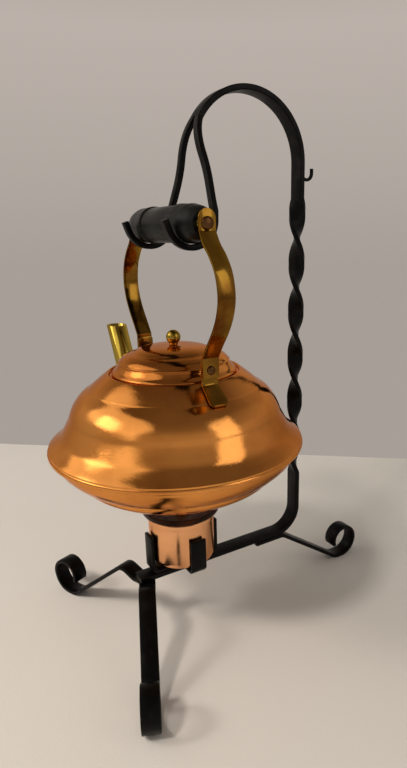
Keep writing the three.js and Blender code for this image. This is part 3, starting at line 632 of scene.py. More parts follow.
TARNISH = tarnish_group()
POLISH = polish_group()
FORGE = forge_group()


# Finishes

def new_material(name):
    material = bpy.data.materials.new(name)
    material.use_nodes = True
    tree = material.node_tree
    shader = tree.nodes["Principled BSDF"]
    place = tree.nodes.new("ShaderNodeTexCoord").outputs["Object"]
    return material, tree, shader, place


def use_group(tree, group, vector, **values):
    node = tree.nodes.new("ShaderNodeGroup")
    node.node_tree = group
    tree.links.new(vector, node.inputs["Vector"])
    for key, value in values.items():
        node.inputs[key.replace("_", " ")].default_value = value
    return node


def bump(tree, shader, height, strength, distance):
    node = add(tree, "ShaderNodeBump", None, Strength=strength, Distance=distance * MM)
    tree.links.new(height, node.inputs["Height"])
    tree.links.new(node.outputs["Normal"], shader.inputs["Normal"])


# How far a metal's colour turns white where it is seen at a grazing angle
EDGE_TINT = 0.48


def polished_metal(name, clean, tarnished, amount, cloud, smooth_to, smeared_to, dents, scratches=0.12):
    """Polished sheet or turned metal with tarnish, smears, fine scratches and soft dents."""
    material, tree, shader, place = new_material(name)
    shader.inputs["Metallic"].default_value = 1.0
    at_edge = [EDGE_TINT + (1 - EDGE_TINT) * c for c in clean[:3]]
    shader.inputs["Specular Tint"].default_value = (*at_edge, 1)
    colour = use_group(
        tree, TARNISH, place, Scale=cloud, Amount=amount, Clean=clean, Tarnished=tarnished,
    )
    surface = use_group(
        tree, POLISH, place, Smooth=smooth_to, Smeared=smeared_to, Scratches=scratches, Dents=dents,
    )
    tree.links.new(colour.outputs["Color"], shader.inputs["Base Color"])
    tree.links.new(surface.outputs["Roughness"], shader.inputs["Roughness"])
    bump(tree, shader, surface.outputs["Height"], strength=0.35, distance=0.4)
    return material


def black_iron():
    """Blackened forged iron: satin black with hammer marks and slightly greyer rubbed spots."""
    material, tree, shader, place = new_material("forged_black_iron")
    shader.inputs["Specular IOR Level"].default_value = 0.11
    marks = use_group(tree, FORGE, place, Hammer=110.0, Scale_Grain=900.0)
    black, rubbed = (0.0014, 0.0012, 0.0010, 1), (0.0085, 0.0075, 0.0055, 1)
    tree.links.new(blend(tree, marks.outputs["Rubbed"], black, rubbed), shader.inputs["Base Color"])
    satin = mapped(tree, marks.outputs["Height"], 0.4, 0.8, 0.30, 0.46)
    tree.links.new(satin, shader.inputs["Roughness"])
    bump(tree, shader, marks.outputs["Height"], strength=0.45, distance=0.5)
    return material


def black_wood():
    """Turned wood, stained black and polished by the hand, with fine lengthwise grain."""
    material, tree, shader, place = new_material("turned_black_wood")
    shader.inputs["Specular IOR Level"].default_value = 0.13
    grain = noise(tree, place, scale=260, detail=6, stretch=(0.12, 1, 1))
    cloud = noise(tree, place, scale=60)
    stained, worn = (0.0030, 0.0033, 0.0026, 1), (0.011, 0.012, 0.0088, 1)
    wood = blend(tree, mapped(tree, grain, 0.45, 0.75), stained, worn)
    tree.links.new(wood, shader.inputs["Base Color"])
    tree.links.new(mapped(tree, cloud, 0.35, 0.7, 0.28, 0.46), shader.inputs["Roughness"])
    bump(tree, shader, grain, strength=0.25, distance=0.15)
    return material


def burnt_metal():
    """Sheet darkened by the flame and painted darker still as shade from the kettle above it, from
    brown-black to dark brown.
    """
    material, tree, shader, place = new_material("burnt_sheet_painted_shade")
    shader.inputs["Metallic"].default_value = 0.85
    shader.inputs["Specular IOR Level"].default_value = 0.1
    # Painted shade: these near-black colours stand in for the kettle's shadow on the pan as well as
    # darkening by the flame
    colour = use_group(tree, TARNISH, place, Scale=70.0, Amount=1.0,
                       Clean=(0.018, 0.008, 0.004, 1), Tarnished=(0.055, 0.018, 0.008, 1))
    tree.links.new(colour.outputs["Color"], shader.inputs["Base Color"])
    soot = noise(tree, place, scale=300, detail=4)
    tree.links.new(mapped(tree, soot, 0.35, 0.7, 0.3, 0.5), shader.inputs["Roughness"])
    bump(tree, shader, soot, strength=0.2, distance=0.1)
    return material


def wick_cotton():
    """Woven cotton with its fibres standing along the wick, greyer at places."""
    material, tree, shader, place = new_material("wick_cotton")
    shader.inputs["Roughness"].default_value = 0.95
    fibre = noise(tree, place, scale=1400, stretch=(1, 1, 0.2))
    greyed, clean = (0.30, 0.26, 0.20, 1), (0.72, 0.67, 0.57, 1)
    cotton = blend(tree, mapped(tree, fibre, 0.3, 0.65), greyed, clean)
    tree.links.new(cotton, shader.inputs["Base Color"])
    bump(tree, shader, fibre, strength=0.8, distance=0.3)
    return material


COPPER = polished_metal(
    "polished_copper", (0.84, 0.35, 0.085, 1), (0.42, 0.12, 0.02, 1),
    amount=0.75, cloud=16.0, smooth_to=0.065, smeared_to=0.20, dents=0.3, scratches=0.3,
)
CUP_COPPER = polished_metal(
    "cup_copper", (0.94, 0.47, 0.22, 1), (0.52, 0.21, 0.08, 1),
    amount=0.4, cloud=40.0, smooth_to=0.15, smeared_to=0.27, dents=0.3,
)
BRASS = polished_metal(
    "polished_brass", (0.56, 0.40, 0.065, 1), (0.22, 0.12, 0.016, 1),
    amount=0.7, cloud=34.0, smooth_to=0.08, smeared_to=0.2, dents=0.2,
)
AGED_BRASS = polished_metal(
    "aged_brass", (0.38, 0.21, 0.03, 1), (0.11, 0.032, 0.006, 1),
    amount=1.0, cloud=26.0, smooth_to=0.10, smeared_to=0.22, dents=0.2,
)
DARK_BRASS = polished_metal(
    "darkened_brass", (0.14, 0.065, 0.024, 1), (0.035, 0.017, 0.009, 1),
    amount=0.8, cloud=120.0, smooth_to=0.3, smeared_to=0.5, dents=0.3,
)
IRON = black_iron()
WOOD = black_wood()
# Burnt sheet for the flame pan, with painted shade from the kettle in its colour
BURNT_AND_SHADED = burnt_metal()
COTTON = wick_cotton()

FINISH_OF = {
    "blackened_iron": IRON, "copper": COPPER, "brass": BRASS,
    "black_wood": WOOD, "burnt_metal": BURNT_AND_SHADED, "cotton": COTTON,
}
SLOT_OF = {row["node"]: row["material_slot"] for row in frame["record"]["subparts"]}
BODIES = frame["record"]["behaviour"]["bodies"]
BODY_OF = {node: body for body, nodes in BODIES.items() for node in nodes}


def place_piece(piece, node, material=None):
    """Gives a finished piece its body and finish, and hides the node that it stands for."""
    piece.data.materials.clear()
    piece.data.materials.append(material or FINISH_OF[SLOT_OF[node]])
    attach(piece, BODY_OF[node])
    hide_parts(node)


# Stand

def bar_station(y, z, heading, twist=0.0):
    """Place of the bar's section and its turn, where the bar runs at an angle above level."""
    upright = Vector((0, math.sin(heading), -math.cos(heading)))
    level = Vector((1, 0, 0))
    across = level * math.cos(twist) + upright * math.sin(twist)
    through = upright * math.cos(twist) - level * math.sin(twist)
    along = across.cross(through)
    return Vector((0, y, z)), Matrix((across, through, along)).transposed()


def bar_stations():
    """The bar runs back, bends up, twists, and goes over the arch as far as its slit."""
    bend_steps, steps_per_turn, arch_steps = 16, 32, 44
    stations = [bar_station(BAR_FRONT, BAR_Z, 0)]
    for i in range(bend_steps + 1):
        a = math.pi / 2 * i / bend_steps
        y = COLUMN_Y - BEND_RADIUS * (1 - math.sin(a))
        stations.append(bar_station(y, BAR_Z + BEND_RADIUS * (1 - math.cos(a)), a))
    twist_low = BAR_TOP + TWIST_RISE
    twist_high = ARCH_Z - TWIST_DROP
    twist_steps = TWIST_TURNS * steps_per_turn
    for i in range(twist_steps + 1):
        left = 1 - i / twist_steps
        z = twist_high + (twist_low - twist_high) * left
        stations.append(bar_station(COLUMN_Y, z, math.pi / 2, TWIST_TURNS * 2 * math.pi * left))
    for i in range(arch_steps + 1):
        a = math.radians(180 - SLIT_ANGLE) * i / arch_steps
        y = ARCH_Y + ARCH_RADIUS * math.cos(a)
        stations.append(bar_station(y, ARCH_Z + ARCH_RADIUS * math.sin(a), math.pi / 2 + a))
    return stations


def tine_place(side, run):
    """Where a tine is after a run from the slit's end, and the direction across its thickness."""
    share = min(max(run / SPREAD_END, 0), 1)
    x = side * (TINE_X - (TINE_X - TINE_ROOT_X) * (1 - share) ** TINE_SPREAD)
    back = TINE_SHORT_CUT * math.sin(math.pi * min(max(run / HOOK_START, 0), 1)) ** 2
    if run < SLIT_RUN:
        a = (SLIT_RUN - run) / ARCH_RADIUS
        out = Vector((0, -math.cos(a), math.sin(a)))
        return Vector((x, ARCH_Y + back, ARCH_Z)) + out * ARCH_RADIUS, out
    a = min(max(0, run - HOOK_START) / HOOK_RADIUS, math.radians(HOOK_ARC))
    tip = max(0, run - HOOK_START - a * HOOK_RADIUS)
    out = Vector((0, -math.cos(a), math.sin(a)))
    ahead = Vector((0, -math.sin(a), -math.cos(a)))
    level = max(HOOK_Z, ARCH_Z + SLIT_RUN - run)
    return Vector((x, back, level)) - out * HOOK_RADIUS + ahead * tip, out


def tine_stations(side):
    """A tine runs down the rest of the arch, spreads sideways and curls under the grip."""
    spread_steps, hook_steps, nudge = 40, 30, 0.05
    hook_run = math.radians(HOOK_ARC) * HOOK_RADIUS
    runs = [-TINE_OVERLAP]
    runs += [SPREAD_END * i / spread_steps for i in range(spread_steps + 1)]
    runs += [HOOK_START + hook_run * i / hook_steps for i in range(hook_steps + 1)]
    runs.append(HOOK_START + hook_run + HOOK_TIP)
    stations = []
    for run in runs:
        place, out = tine_place(side, run)
        along = (tine_place(side, run + nudge)[0] - tine_place(side, run - nudge)[0]).normalized()
        through = (out - along * out.dot(along)).normalized()
        across = through.cross(along)
        stations.append((place, Matrix((across, through, along)).transposed()))
    return stations


def make_stand_bar():
    """Main bar in one piece with its two tines."""
    bar = swept("stand_bar_forged", BAR_WIDTH, BAR_THICK, BAR_CORNER, bar_stations())
    width = (BAR_WIDTH - SLIT_WIDTH) / 2 - 2 * TINE_INSET
    thick = BAR_THICK - 2 * TINE_INSET
    for side in (-1, 1):
        tine = swept("tine", width, thick, BAR_CORNER, tine_stations(side))
        join_on(bar, tine)
    shade(bar)
    place_piece(bar, "stand_bar")


def leg_line(start, slope, root_moves):
    """Side view of a leg: its root, a straight slope to the floor and a scroll."""
    root = trace((start, LEG_Z), 0, root_moves)
    drop = root[-1][1] - LEG_THICK / 2 - SCROLL_RADIUS * (1 - math.cos(math.radians(slope)))
    quarters = [("turn", SCROLL_RADIUS - SCROLL_TIGHTEN * i, 90) for i in range(SCROLL_QUARTERS)]
    return trace((start, LEG_Z), 0, [
        *root_moves,
        ("run", drop / math.sin(math.radians(slope))),
        ("turn", SCROLL_RADIUS, slope),
        ("run", FOOT_FLAT),
        *quarters,
        ("turn", SCROLL_END_RADIUS, SCROLL_END_TURN),
    ])


def make_front_leg(word, side):
    """Front leg with a hump and a slope to its scroll, cut off where the two legs meet."""
    spare = LEG_WIDTH / 2
    line = leg_line(-spare, FRONT_SLOPE, [
        ("run", spare + FRONT_ROOT),
        ("turn", LEG_BEND, HUMP_TURN),
        ("run", HUMP_RUN),
        ("turn", LEG_BEND, -HUMP_TURN - FRONT_SLOPE),
    ])
    leg = ribbon(f"front_leg_{word}", line, [LEG_WIDTH] * len(line), LEG_THICK)
    spread = side * (math.pi / 2 - math.radians(FRONT_LEG_ANGLE))
    edit_all(leg)
    bpy.ops.mesh.bisect(
        plane_co=(math.cos(spread) * GAP / 2 * MM, math.sin(spread) * GAP / 2 * MM, 0),
        plane_no=(math.cos(spread), math.sin(spread), 0), clear_inner=True, use_fill=True,
    )
    bpy.ops.object.mode_set(mode="OBJECT")
    shade(leg)
    turn = math.radians(FRONT_LEG_ANGLE)
    leg.rotation_euler.z = turn - math.pi / 2 if side > 0 else 3 * math.pi / 2 - turn
    leg.location = AXIS + Vector((0, FRONT_APEX_Y * MM, 0))
    apply_place(leg)
    place_piece(leg, f"leg_{word}")


def make_rear_leg():
    """Rear leg, under the bar for a stretch and then down to its scroll."""
    line = leg_line(0, REAR_SLOPE, [("run", REAR_ROOT), ("turn", LEG_BEND, -REAR_SLOPE)])
    leg = ribbon("rear_leg", line, [LEG_WIDTH] * len(line), LEG_THICK)
    leg.rotation_euler.z = math.pi / 2
    leg.location = AXIS + Vector((0, REAR_START_Y * MM, 0))
    apply_place(leg)
    place_piece(leg, "leg_rear")


def make_holder_strip(name, level, turn, node):
    """Flat strip under the burner with both its ends bent up beside the cup."""
    half = CUP_RADIUS + PRONG_PLAY + HOLDER_THICK / 2
    upright = ("run", PRONG_TOP - level - HOLDER_BEND)
    corner = ("turn", HOLDER_BEND, 90)
    level_run = ("run", 2 * (half - HOLDER_BEND))
    line = trace((-half, PRONG_TOP), -90, [upright, corner, level_run, corner, upright], finest=9)
    strip = ribbon(name, line, [HOLDER_WIDTH] * len(line), HOLDER_THICK, HOLDER_EDGE)
    strip.rotation_euler.z = turn
    strip.location = AXIS
    apply_place(strip)
    place_piece(strip, node)


def make_wire_hook():
    """Round wire bent to a hook, standing off the back of the column."""
    start = COLUMN_Y + BAR_THICK / 2 + GAP + WIRE_RADIUS
    low = ARCH_Z - WIRE_HOOK_DROP
    bow = arc(start + WIRE_HOOK_RADIUS, low, WIRE_HOOK_RADIUS, 180, 360, 20)
    line = [(start, low + WIRE_RADIUS), *bow, (bow[-1][0], low + WIRE_TIP)]
    stations = []
    for i, (y, z) in enumerate(line):
        (ay, az), (by, bz) = line[max(i - 1, 0)], line[min(i + 1, len(line) - 1)]
        stations.append(bar_station(y, z, math.atan2(bz - az, by - ay)))
    wide = 2 * WIRE_RADIUS
    hook = swept("wire_hook_bent", wide, wide, WIRE_RADIUS * WIRE_CORNER, stations)
    place_piece(hook, "wire_hook")


def make_stand():
    make_stand_bar()
    make_front_leg("right", 1)
    make_front_leg("left", -1)
    make_rear_leg()
    make_holder_strip("holder_long", LONG_STRIP_Z, math.pi / 2, "holder_strip_long")
    make_holder_strip("holder_cross", CROSS_STRIP_Z, 0, "holder_strip_cross")
    make_wire_hook()


# Burner

def make_cup():
    """Cup with a low band below its rolled lip."""
    inside = CUP_RADIUS - CUP_WALL
    centre = CUP_RADIUS - CUP_CORNER
    band = CUP_HEIGHT - CUP_BAND
    cup = turned("cup", [
        (0, 0),
        *arc(centre, CUP_CORNER, CUP_CORNER, -90, 0, 10),
        (CUP_RADIUS, band - CUP_BAND_STEP),
        (CUP_RADIUS + CUP_BAND_STEP, band),
        *arc(CUP_LIP_PLACE, CUP_HEIGHT - CUP_LIP, CUP_LIP, 0, 180, 12),
        (inside, band),
        *arc(centre, CUP_CORNER, CUP_CORNER - CUP_WALL, 0, -90, 8),
        (0, CUP_WALL),
    ], BURNER)
    place_piece(cup, "burner_cup", CUP_COPPER)


def make_pan():
    """Shallow bowl with a skirt that drops into the cup, and a hole for the wick's tube."""
    skirt = CUP_LIP_PLACE - CUP_LIP - PAN_PLAY
    floor = CUP_HEIGHT + GAP
    hole = WICK_TUBE_RADIUS + HOLE_PLAY
    half = PAN_WALL / 2
    wall = smooth(between((skirt, floor), (PAN_RADIUS - half, floor + PAN_RISE), PAN_FORM), 18)
    pan = turned("flame_pan", [
        (hole, floor),
        (skirt - PAN_WALL, floor),
        (skirt - PAN_WALL, floor - PAN_SKIRT),
        (skirt, floor - PAN_SKIRT),
        *wall[:-1],
        *arc(wall[-1][0] - half, wall[-1][1] - half, half, -10, 170, 6),
        *offset(wall, PAN_WALL)[-2::-1],
        (hole, floor + PAN_WALL),
    ], BURNER, bevel=PAN_EDGE)
    place_piece(pan, "burner_pan")


def make_wick_tube():
    bore = WICK_TUBE_RADIUS - WICK_TUBE_WALL
    step = TUBE_FOOT + CUP_WALL
    tube = turned("tube_for_wick", [
        (bore, TUBE_FOOT), (WICK_TUBE_FLANGE, TUBE_FOOT), (WICK_TUBE_FLANGE, step),
        (WICK_TUBE_RADIUS, step), (WICK_TUBE_RADIUS, TUBE_TOP), (bore, TUBE_TOP),
    ], BURNER, 48, bevel=WICK_TUBE_EDGE)
    place_piece(tube, "wick_tube")


def make_wick():
    radius = WICK_TUBE_RADIUS - WICK_TUBE_WALL - GAP
    tip = TUBE_TOP + WICK_SHOW
    wick = turned("woven_wick", [
        (0, TUBE_FOOT),
        (radius, TUBE_FOOT),
        (radius, tip - WICK_EDGE),
        *arc(radius - WICK_EDGE, tip - WICK_EDGE, WICK_EDGE, 0, 90, 5),
        (0, tip - WICK_DIMPLE),
    ], BURNER, 40)
    place_piece(wick, "wick")


def make_burner():
    make_cup()
    make_pan()
    make_wick_tube()
    make_wick()


# Kettle

def flank_line(steps=1):
    """Outside of the body from the crest round the mouth to the rim."""
    crest, crease = (CREST_RADIUS, CREST_Z), (CREASE_RADIUS, CREASE_Z)
    waist, rim = (WAIST_RADIUS, WAIST_Z), (RIM_RADIUS - RIM_ROUND, RIM_Z + 2 * RIM_ROUND)
    shoulder = between(crest, crease, SHOULDER_FORM)
    shoulder.append((CREASE_RADIUS, CREASE_Z + CREASE_STEP))
    flank = between(crease, waist, FLANK_FORM) + between(waist, rim, FLARE_FORM)
    return [
        *arc(CREST_RADIUS, CREST_Z - SHEET, SHEET, 150, 60, 5 * steps),
        *smooth(shoulder, 8 * steps),
        *smooth(flank, 30 * steps),
    ]


def oblique_tube(name, radius, low, high, sides=64):
    """Round bar along the spout's lean whose ends are level, closed at both ends."""
    lean = math.radians(SPOUT_LEAN)
    deselect()
    foot = -SPOUT_TIP_X + (SPOUT_TIP_Z - low) * math.tan(lean)
    start = KETTLE + Vector((foot, 0, low)) * MM
    bpy.ops.mesh.primitive_circle_add(
        vertices=sides, radius=radius * MM, fill_type="NGON", location=start,
    )
    piece = name_it(name)
    bpy.ops.object.mode_set(mode="EDIT")
    bpy.ops.mesh.select_all(action="SELECT")
    bpy.ops.transform.resize(value=(1 / math.cos(lean), 1, 1), center_override=tuple(start))
    rise = (high - low) * MM
    step = (-rise * math.tan(lean), 0, rise)
    bpy.ops.mesh.extrude_region_move(TRANSFORM_OT_translate={"value": step})
    apply_place(piece)
    point_out(piece)
    return piece


def make_upper():
    """Upper shell with its mouth's edge turned down and its rim folded round the bowl's flange."""
    outside = [
        (MOUTH_RADIUS, SEAT_Z - MOUTH_LIP),
        (MOUTH_RADIUS, SEAT_Z - SHEET),
        *arc(MOUTH_RADIUS + SHEET, SEAT_Z - SHEET, SHEET, 180, 90, 5)[1:],
        (SEAT_RADIUS, SEAT_Z),
        *flank_line(2),
    ]
    lip = RIM_RADIUS - SHEET - FLANGE_WIDTH
    fold = (RIM_Z + RIM_ROUND - HEM_BOTTOM) / 2
    place = RIM_RADIUS - fold * FOLD_FLATTENING
    bead = arc(place, HEM_BOTTOM + fold, fold, 60, -90, 12)
    bead = [(place + (x - place) * FOLD_FLATTENING, z) for x, z in bead]
    hem = [
        *bead,
        (lip, HEM_BOTTOM),
        (lip, HEM_TOP),
        (RIM_RADIUS - SHEET - HEM_PLAY, HEM_TOP),
    ]
    inside = [(x, z) for x, z in offset(outside, -SHEET)[::-1] if z > RIM_Z + SHEET]
    upper = turned("kettle_body", [*outside, *hem, *inside], KETTLE, 128)
    hole_low, hole_high = RIM_Z + SPOUT_HOLE_RISE, WAIST_Z + SPOUT_RADIUS
    cut_away(upper, oblique_tube("hole", SPOUT_HOLE_RADIUS, hole_low, hole_high, 32))
    shade(upper, 30)
    place_piece(upper, "kettle_upper")


def make_lower():
    """Bowl with a flat base, a groove round it and a flange inside the upper shell's fold."""
    wall = RIM_RADIUS - SHEET - FLANGE_WIDTH - 2 * GAP
    groove = (GROOVE_RADIUS, GROOVE_Z)
    ledge = (GROOVE_RADIUS + GROOVE_STEP, GROOVE_Z + GROOVE_RISE)
    outside = [
        (0, 0),
        (BASE_RADIUS / 2, 0),
        *smooth(between((BASE_RADIUS, 0), groove, BASE_FORM), 20),
        groove,
        ledge,
        *smooth(between(ledge, (wall, HEM_BOTTOM - GAP), BOWL_FORM), 24),
        (wall, FLANGE_TOP - SHEET),
    ]
    edge = RIM_RADIUS - SHEET - GAP
    inside = offset(outside, SHEET)
    inside[0] = (0, SHEET)
    flange = [(edge, FLANGE_TOP - SHEET), (edge, FLANGE_TOP), (inside[-1][0], FLANGE_TOP)]
    profile = [*outside, *flange, *inside[:-1][::-1]]
    lower = turned("kettle_bowl", profile, KETTLE, 128, bevel=BOWL_EDGE)
    place_piece(lower, "kettle_lower")


def make_spout():
    """Straight tube cut level at its mouth, and to the body's form at its foot."""
    tube = oblique_tube("spout_tube", SPOUT_RADIUS, RIM_Z + SHEET, SPOUT_TIP_Z)
    cut_away(tube, oblique_tube("bore", SPOUT_RADIUS - SPOUT_WALL, RIM_Z, SPOUT_TIP_Z + SHEET))
    flare = turned("flare", [
        (0, RIM_Z - SHEET),
        (RIM_RADIUS + GAP, RIM_Z - SHEET),
        *offset(flank_line(), GAP)[::-1],
        (0, CREST_Z),
    ], KETTLE, 128)
    cut_away(tube, flare)
    round_edges(tube, SPOUT_EDGE, angle=50)
    shade(tube, 30)
    place_piece(tube, "spout")


def make_lid():
    """Lid with a flat middle, a sloping ring, a bead, a collar inside the mouth and a vent."""
    crown, ring = (KNOB_RADIUS, LID_TOP), (LID_RING_RADIUS, LID_TOP - LID_RING_DROP)
    bead = (LID_BEAD_RADIUS, LID_Z + LID_BEAD_RISE)
    outside = [
        (0, LID_TOP),
        *smooth(between(crown, ring, LID_CROWN_FORM), 20),
        *smooth(between(ring, bead, LID_SLOPE_FORM), 16),
        *arc(bead[0] - LID_BEAD_STEP, bead[1], LID_BEAD_STEP, 60, -90, 6),
        *smooth(between(bead, (LID_RADIUS, LID_Z), LID_SIDE_FORM), 12),
    ]
    inside = [(max(x, 0), z) for x, z in offset(outside, -SHEET)]
    inside[0] = (0, LID_TOP - SHEET)
    collar = MOUTH_RADIUS - COLLAR_PLAY
    lid = turned("lid_shell", [
        *outside,
        *arc(LID_RADIUS - SHEET, LID_Z + SHEET, SHEET, 45, -90, 8),
        (collar, LID_Z),
        (collar, LID_Z - COLLAR_DEPTH),
        (collar - SHEET, LID_Z - COLLAR_DEPTH),
        (collar - SHEET, LID_Z + SHEET),
        (inside[-1][0] - SHEET, LID_Z + SHEET),
        *inside[::-1],
    ], KETTLE, 128, bevel=FINE_EDGE)
    deselect()
    bpy.ops.mesh.primitive_cylinder_add(
        vertices=32, radius=VENT_RADIUS * MM, depth=LID_RISE * MM,
        location=KETTLE + Vector((VENT_DISTANCE, 0, LID_TOP)) * MM,
    )
    vent = name_it("vent")
    round_edges(vent, VENT_EDGE)
    cut_away(lid, vent)
    shade(lid, 30)
    place_piece(lid, "lid")


def make_knob():
    """Ball on a short foot, with a stem through the lid."""
    foot = LID_TOP + GAP
    ball = foot + KNOB_STALK + KNOB_RADIUS
    nut_foot = LID_TOP - SHEET - GAP - NUT_HEIGHT
    knob = turned("knob", [
        (0, nut_foot - GAP),
        (STEM_RADIUS, nut_foot - GAP),
        (STEM_RADIUS, foot),
        (KNOB_FOOT_RADIUS, foot),
        (KNOB_FOOT_RADIUS, foot + KNOB_STALK),
        *arc(0, ball, KNOB_RADIUS, -50, 86, 24),
        (0, ball + KNOB_RADIUS),
    ], KETTLE, 64, bevel=FINE_EDGE)
    place_piece(knob, "lid_knob")


def make_nut():
    """Six-sided nut under the lid, with its edges rounded."""
    deselect()
    top = LID_TOP - SHEET - GAP
    bpy.ops.mesh.primitive_cylinder_add(
        vertices=6, radius=NUT_RADIUS * MM, depth=NUT_HEIGHT * MM,
        location=KETTLE + Vector((0, 0, top - NUT_HEIGHT / 2)) * MM,
    )
    nut = name_it("knob_nut")
    apply_place(nut)
    bore = STEM_RADIUS + HOLE_PLAY
    low, high = top - 2 * NUT_HEIGHT, top + SHEET
    cut_away(nut, turned("nut_bore", [(0, low), (bore, low), (bore, high), (0, high)], KETTLE, 32))
    round_edges(nut, NUT_EDGE)
    shade(nut)
    place_piece(nut, "lid_nut")


# Handle

def height_at(line, x):
    """Height of an outline at a distance from the axis, beyond its highest point."""
    for (ax, az), (bx, bz) in zip(line, line[1:]):
        if bx >= x and bz < az:
            return az + (bz - az) * (x - ax) / (bx - ax)
    return line[-1][1]


SHOULDER_Z = height_at(flank_line(), LUG_X)
STRAP_FOOT_Z = SHOULDER_Z + STRAP_FOOT_RISE
STRAP_NECK_Z = STRAP_FOOT_Z + STRAP_NECK
RIVET_Z = STRAP_FOOT_Z + RIVET_RISE


def copied(piece):
    """Copy of a piece with its own mesh."""
    twin = piece.copy()
    twin.data = piece.data.copy()
    bpy.context.scene.collection.objects.link(twin)
    return twin


def make_strap():
    """Strap with a cornered foot, an outward bow and a round head on the rod."""
    straight = HANDLE_RISE - ROD_HEAD_RADIUS - GAP
    rise_of_bow = straight - STRAP_NECK_Z
    bow = [(STRAP_X + STRAP_BOW * out, STRAP_NECK_Z + rise_of_bow * up) for up, out in BOW_FORM]
    line = [
        (STRAP_X, STRAP_FOOT_Z),
        (STRAP_X, STRAP_FOOT_Z + STRAP_FOOT_CORNER),
        *smooth(bow, 72),
    ]
    widths = [STRAP_WIDTH] * len(line)
    widths[0] -= 2 * STRAP_FOOT_CORNER
    rounding = STRAP_WIDTH / 2
    head = HANDLE_RISE + STRAP_HEAD - rounding
    head_steps = 14
    for i in range(head_steps + 1):
        a = math.radians(STRAP_HEAD_ARC) * i / head_steps
        line.append((STRAP_X, head + rounding * math.sin(a)))
        widths.append(STRAP_WIDTH * math.cos(a))
    return ribbon("strap", line, widths, STRAP_THICK, BRASS_EDGE)


def make_lug():
    """Angle lug, upright behind the strap, bent along the shoulder and rounded at its end."""
    high = STRAP_NECK_Z - LUG_THICK
    low = SHOULDER_Z + LUG_STAND
    upright = trace((LUG_X, high), -90, [
        ("run", LUG_TOP_CORNER),
        ("run", high - low - LUG_TOP_CORNER),
        ("turn", 2 * LUG_THICK, 90 - LUG_SLOPE),
    ], finest=8)
    widths = [STRAP_WIDTH] * len(upright)
    widths[0] -= 2 * LUG_TOP_CORNER

    x, z = upright[-1]
    slope = math.radians(-LUG_SLOPE)
    steps = 8
    shares = [i / steps for i in range(1, steps + 1)]
    run = LUG_FOOT_RUN + LUG_THICK - LUG_END_ROUND
    turns = [math.radians(LUG_END_ARC) * share for share in shares]
    reaches = [run * share for share in shares]
    reaches += [run + LUG_END_ROUND * math.sin(a) for a in turns]
    foot = [(x + reach * math.cos(slope), z + reach * math.sin(slope)) for reach in reaches]
    widths += [STRAP_WIDTH + (LUG_END_WIDTH - STRAP_WIDTH) * share for share in shares]
    widths += [LUG_END_WIDTH - 2 * LUG_END_ROUND * (1 - math.cos(a)) for a in turns]
    return ribbon("lug", [*upright, *foot], widths, LUG_THICK, BRASS_EDGE)


def dome(at, radius, height, count=8):
    """Domed head on a flat base, from its edge to the axis, along X."""
    angles = [math.pi / 2 * i / count for i in range(count)]
    return [*[(radius * math.cos(a), at + height * math.sin(a)) for a in angles], (0, at + height)]


def whole_outline(half):
    """Outline along X from the outline of its right half."""
    return [*[(r, -x) for r, x in half][::-1], *half]


def make_rivet():
    """Rivet through the lug and the strap, flat inside and domed outside."""
    inner = LUG_X - LUG_THICK / 2 - GAP
    outer = STRAP_X + STRAP_THICK / 2 + GAP
    return turned("rivet", [
        (0, inner - RIVET_HEAD),
        (RIVET_HEAD_RADIUS, inner - RIVET_HEAD),
        (RIVET_HEAD_RADIUS, inner),
        (RIVET_RADIUS, inner),
        (RIVET_RADIUS, outer),
        *dome(outer, RIVET_HEAD_RADIUS, RIVET_HEAD),
    ], Vector((0, 0, RIVET_Z * MM)), 40, along="X", bevel=FINE_EDGE)


def make_rod():
    """Rod through the grip, peened to a dome outside each strap."""
    face = STRAP_X + STRAP_THICK / 2 + GAP
    half = [(ROD_RADIUS, face), *dome(face, ROD_HEAD_RADIUS, ROD_HEAD)]
    centre = KETTLE + Vector((0, 0, HANDLE_RISE * MM))
    rod = turned("handle_rod_peened", whole_outline(half), centre, 48, along="X", bevel=ROD_EDGE)
    place_piece(rod, "handle_rod", DARK_BRASS)


def make_collar():
    """Collar between the grip and the strap."""
    bore = ROD_RADIUS + HOLE_PLAY
    near = GRIP_HALF + GAP
    far = near + COLLAR_LENGTH
    return turned("collar", [
        (bore, near), (COLLAR_RADIUS, near), (COLLAR_RADIUS, far), (bore, far),
    ], Vector((0, 0, HANDLE_RISE * MM)), 48, along="X", bevel=COLLAR_EDGE)


def make_grip():
    """Turned grip with a groove at each side of its middle and a seat for each hook."""
    bore = ROD_RADIUS + HOLE_PLAY
    barrel = (GRIP_BARREL_RADIUS, GRIP_MIDDLE_HALF + GRIP_EDGE)
    seat_in = (GRIP_SEAT_RADIUS, HOOK_X - GRIP_SEAT_HALF)
    seat_out = (GRIP_SEAT_RADIUS, HOOK_X + GRIP_SEAT_HALF)
    shoulder = (GRIP_SHOULDER_RADIUS, GRIP_HALF - GRIP_END_RUN)
    half = [
        (GRIP_MIDDLE_RADIUS, GRIP_MIDDLE_HALF - GRIP_EDGE),
        (GRIP_MIDDLE_RADIUS - GRIP_GROOVE, GRIP_MIDDLE_HALF),
        (GRIP_MIDDLE_RADIUS, GRIP_MIDDLE_HALF + GRIP_EDGE / 2),
        *smooth(between(barrel, seat_in, BARREL_FORM), 12),
        *smooth([*between(seat_out, shoulder, NECK_FORM), (GRIP_END_RADIUS, GRIP_HALF)], 18),
        (bore, GRIP_HALF),
    ]
    grip = turned("turned_grip", whole_outline(half), GRIP, along="X", bevel=GRIP_ROUNDING)
    place_piece(grip, "grip")


def make_kettle():
    make_upper()
    make_lower()
    make_spout()
    make_lid()
    make_knob()
    make_nut()


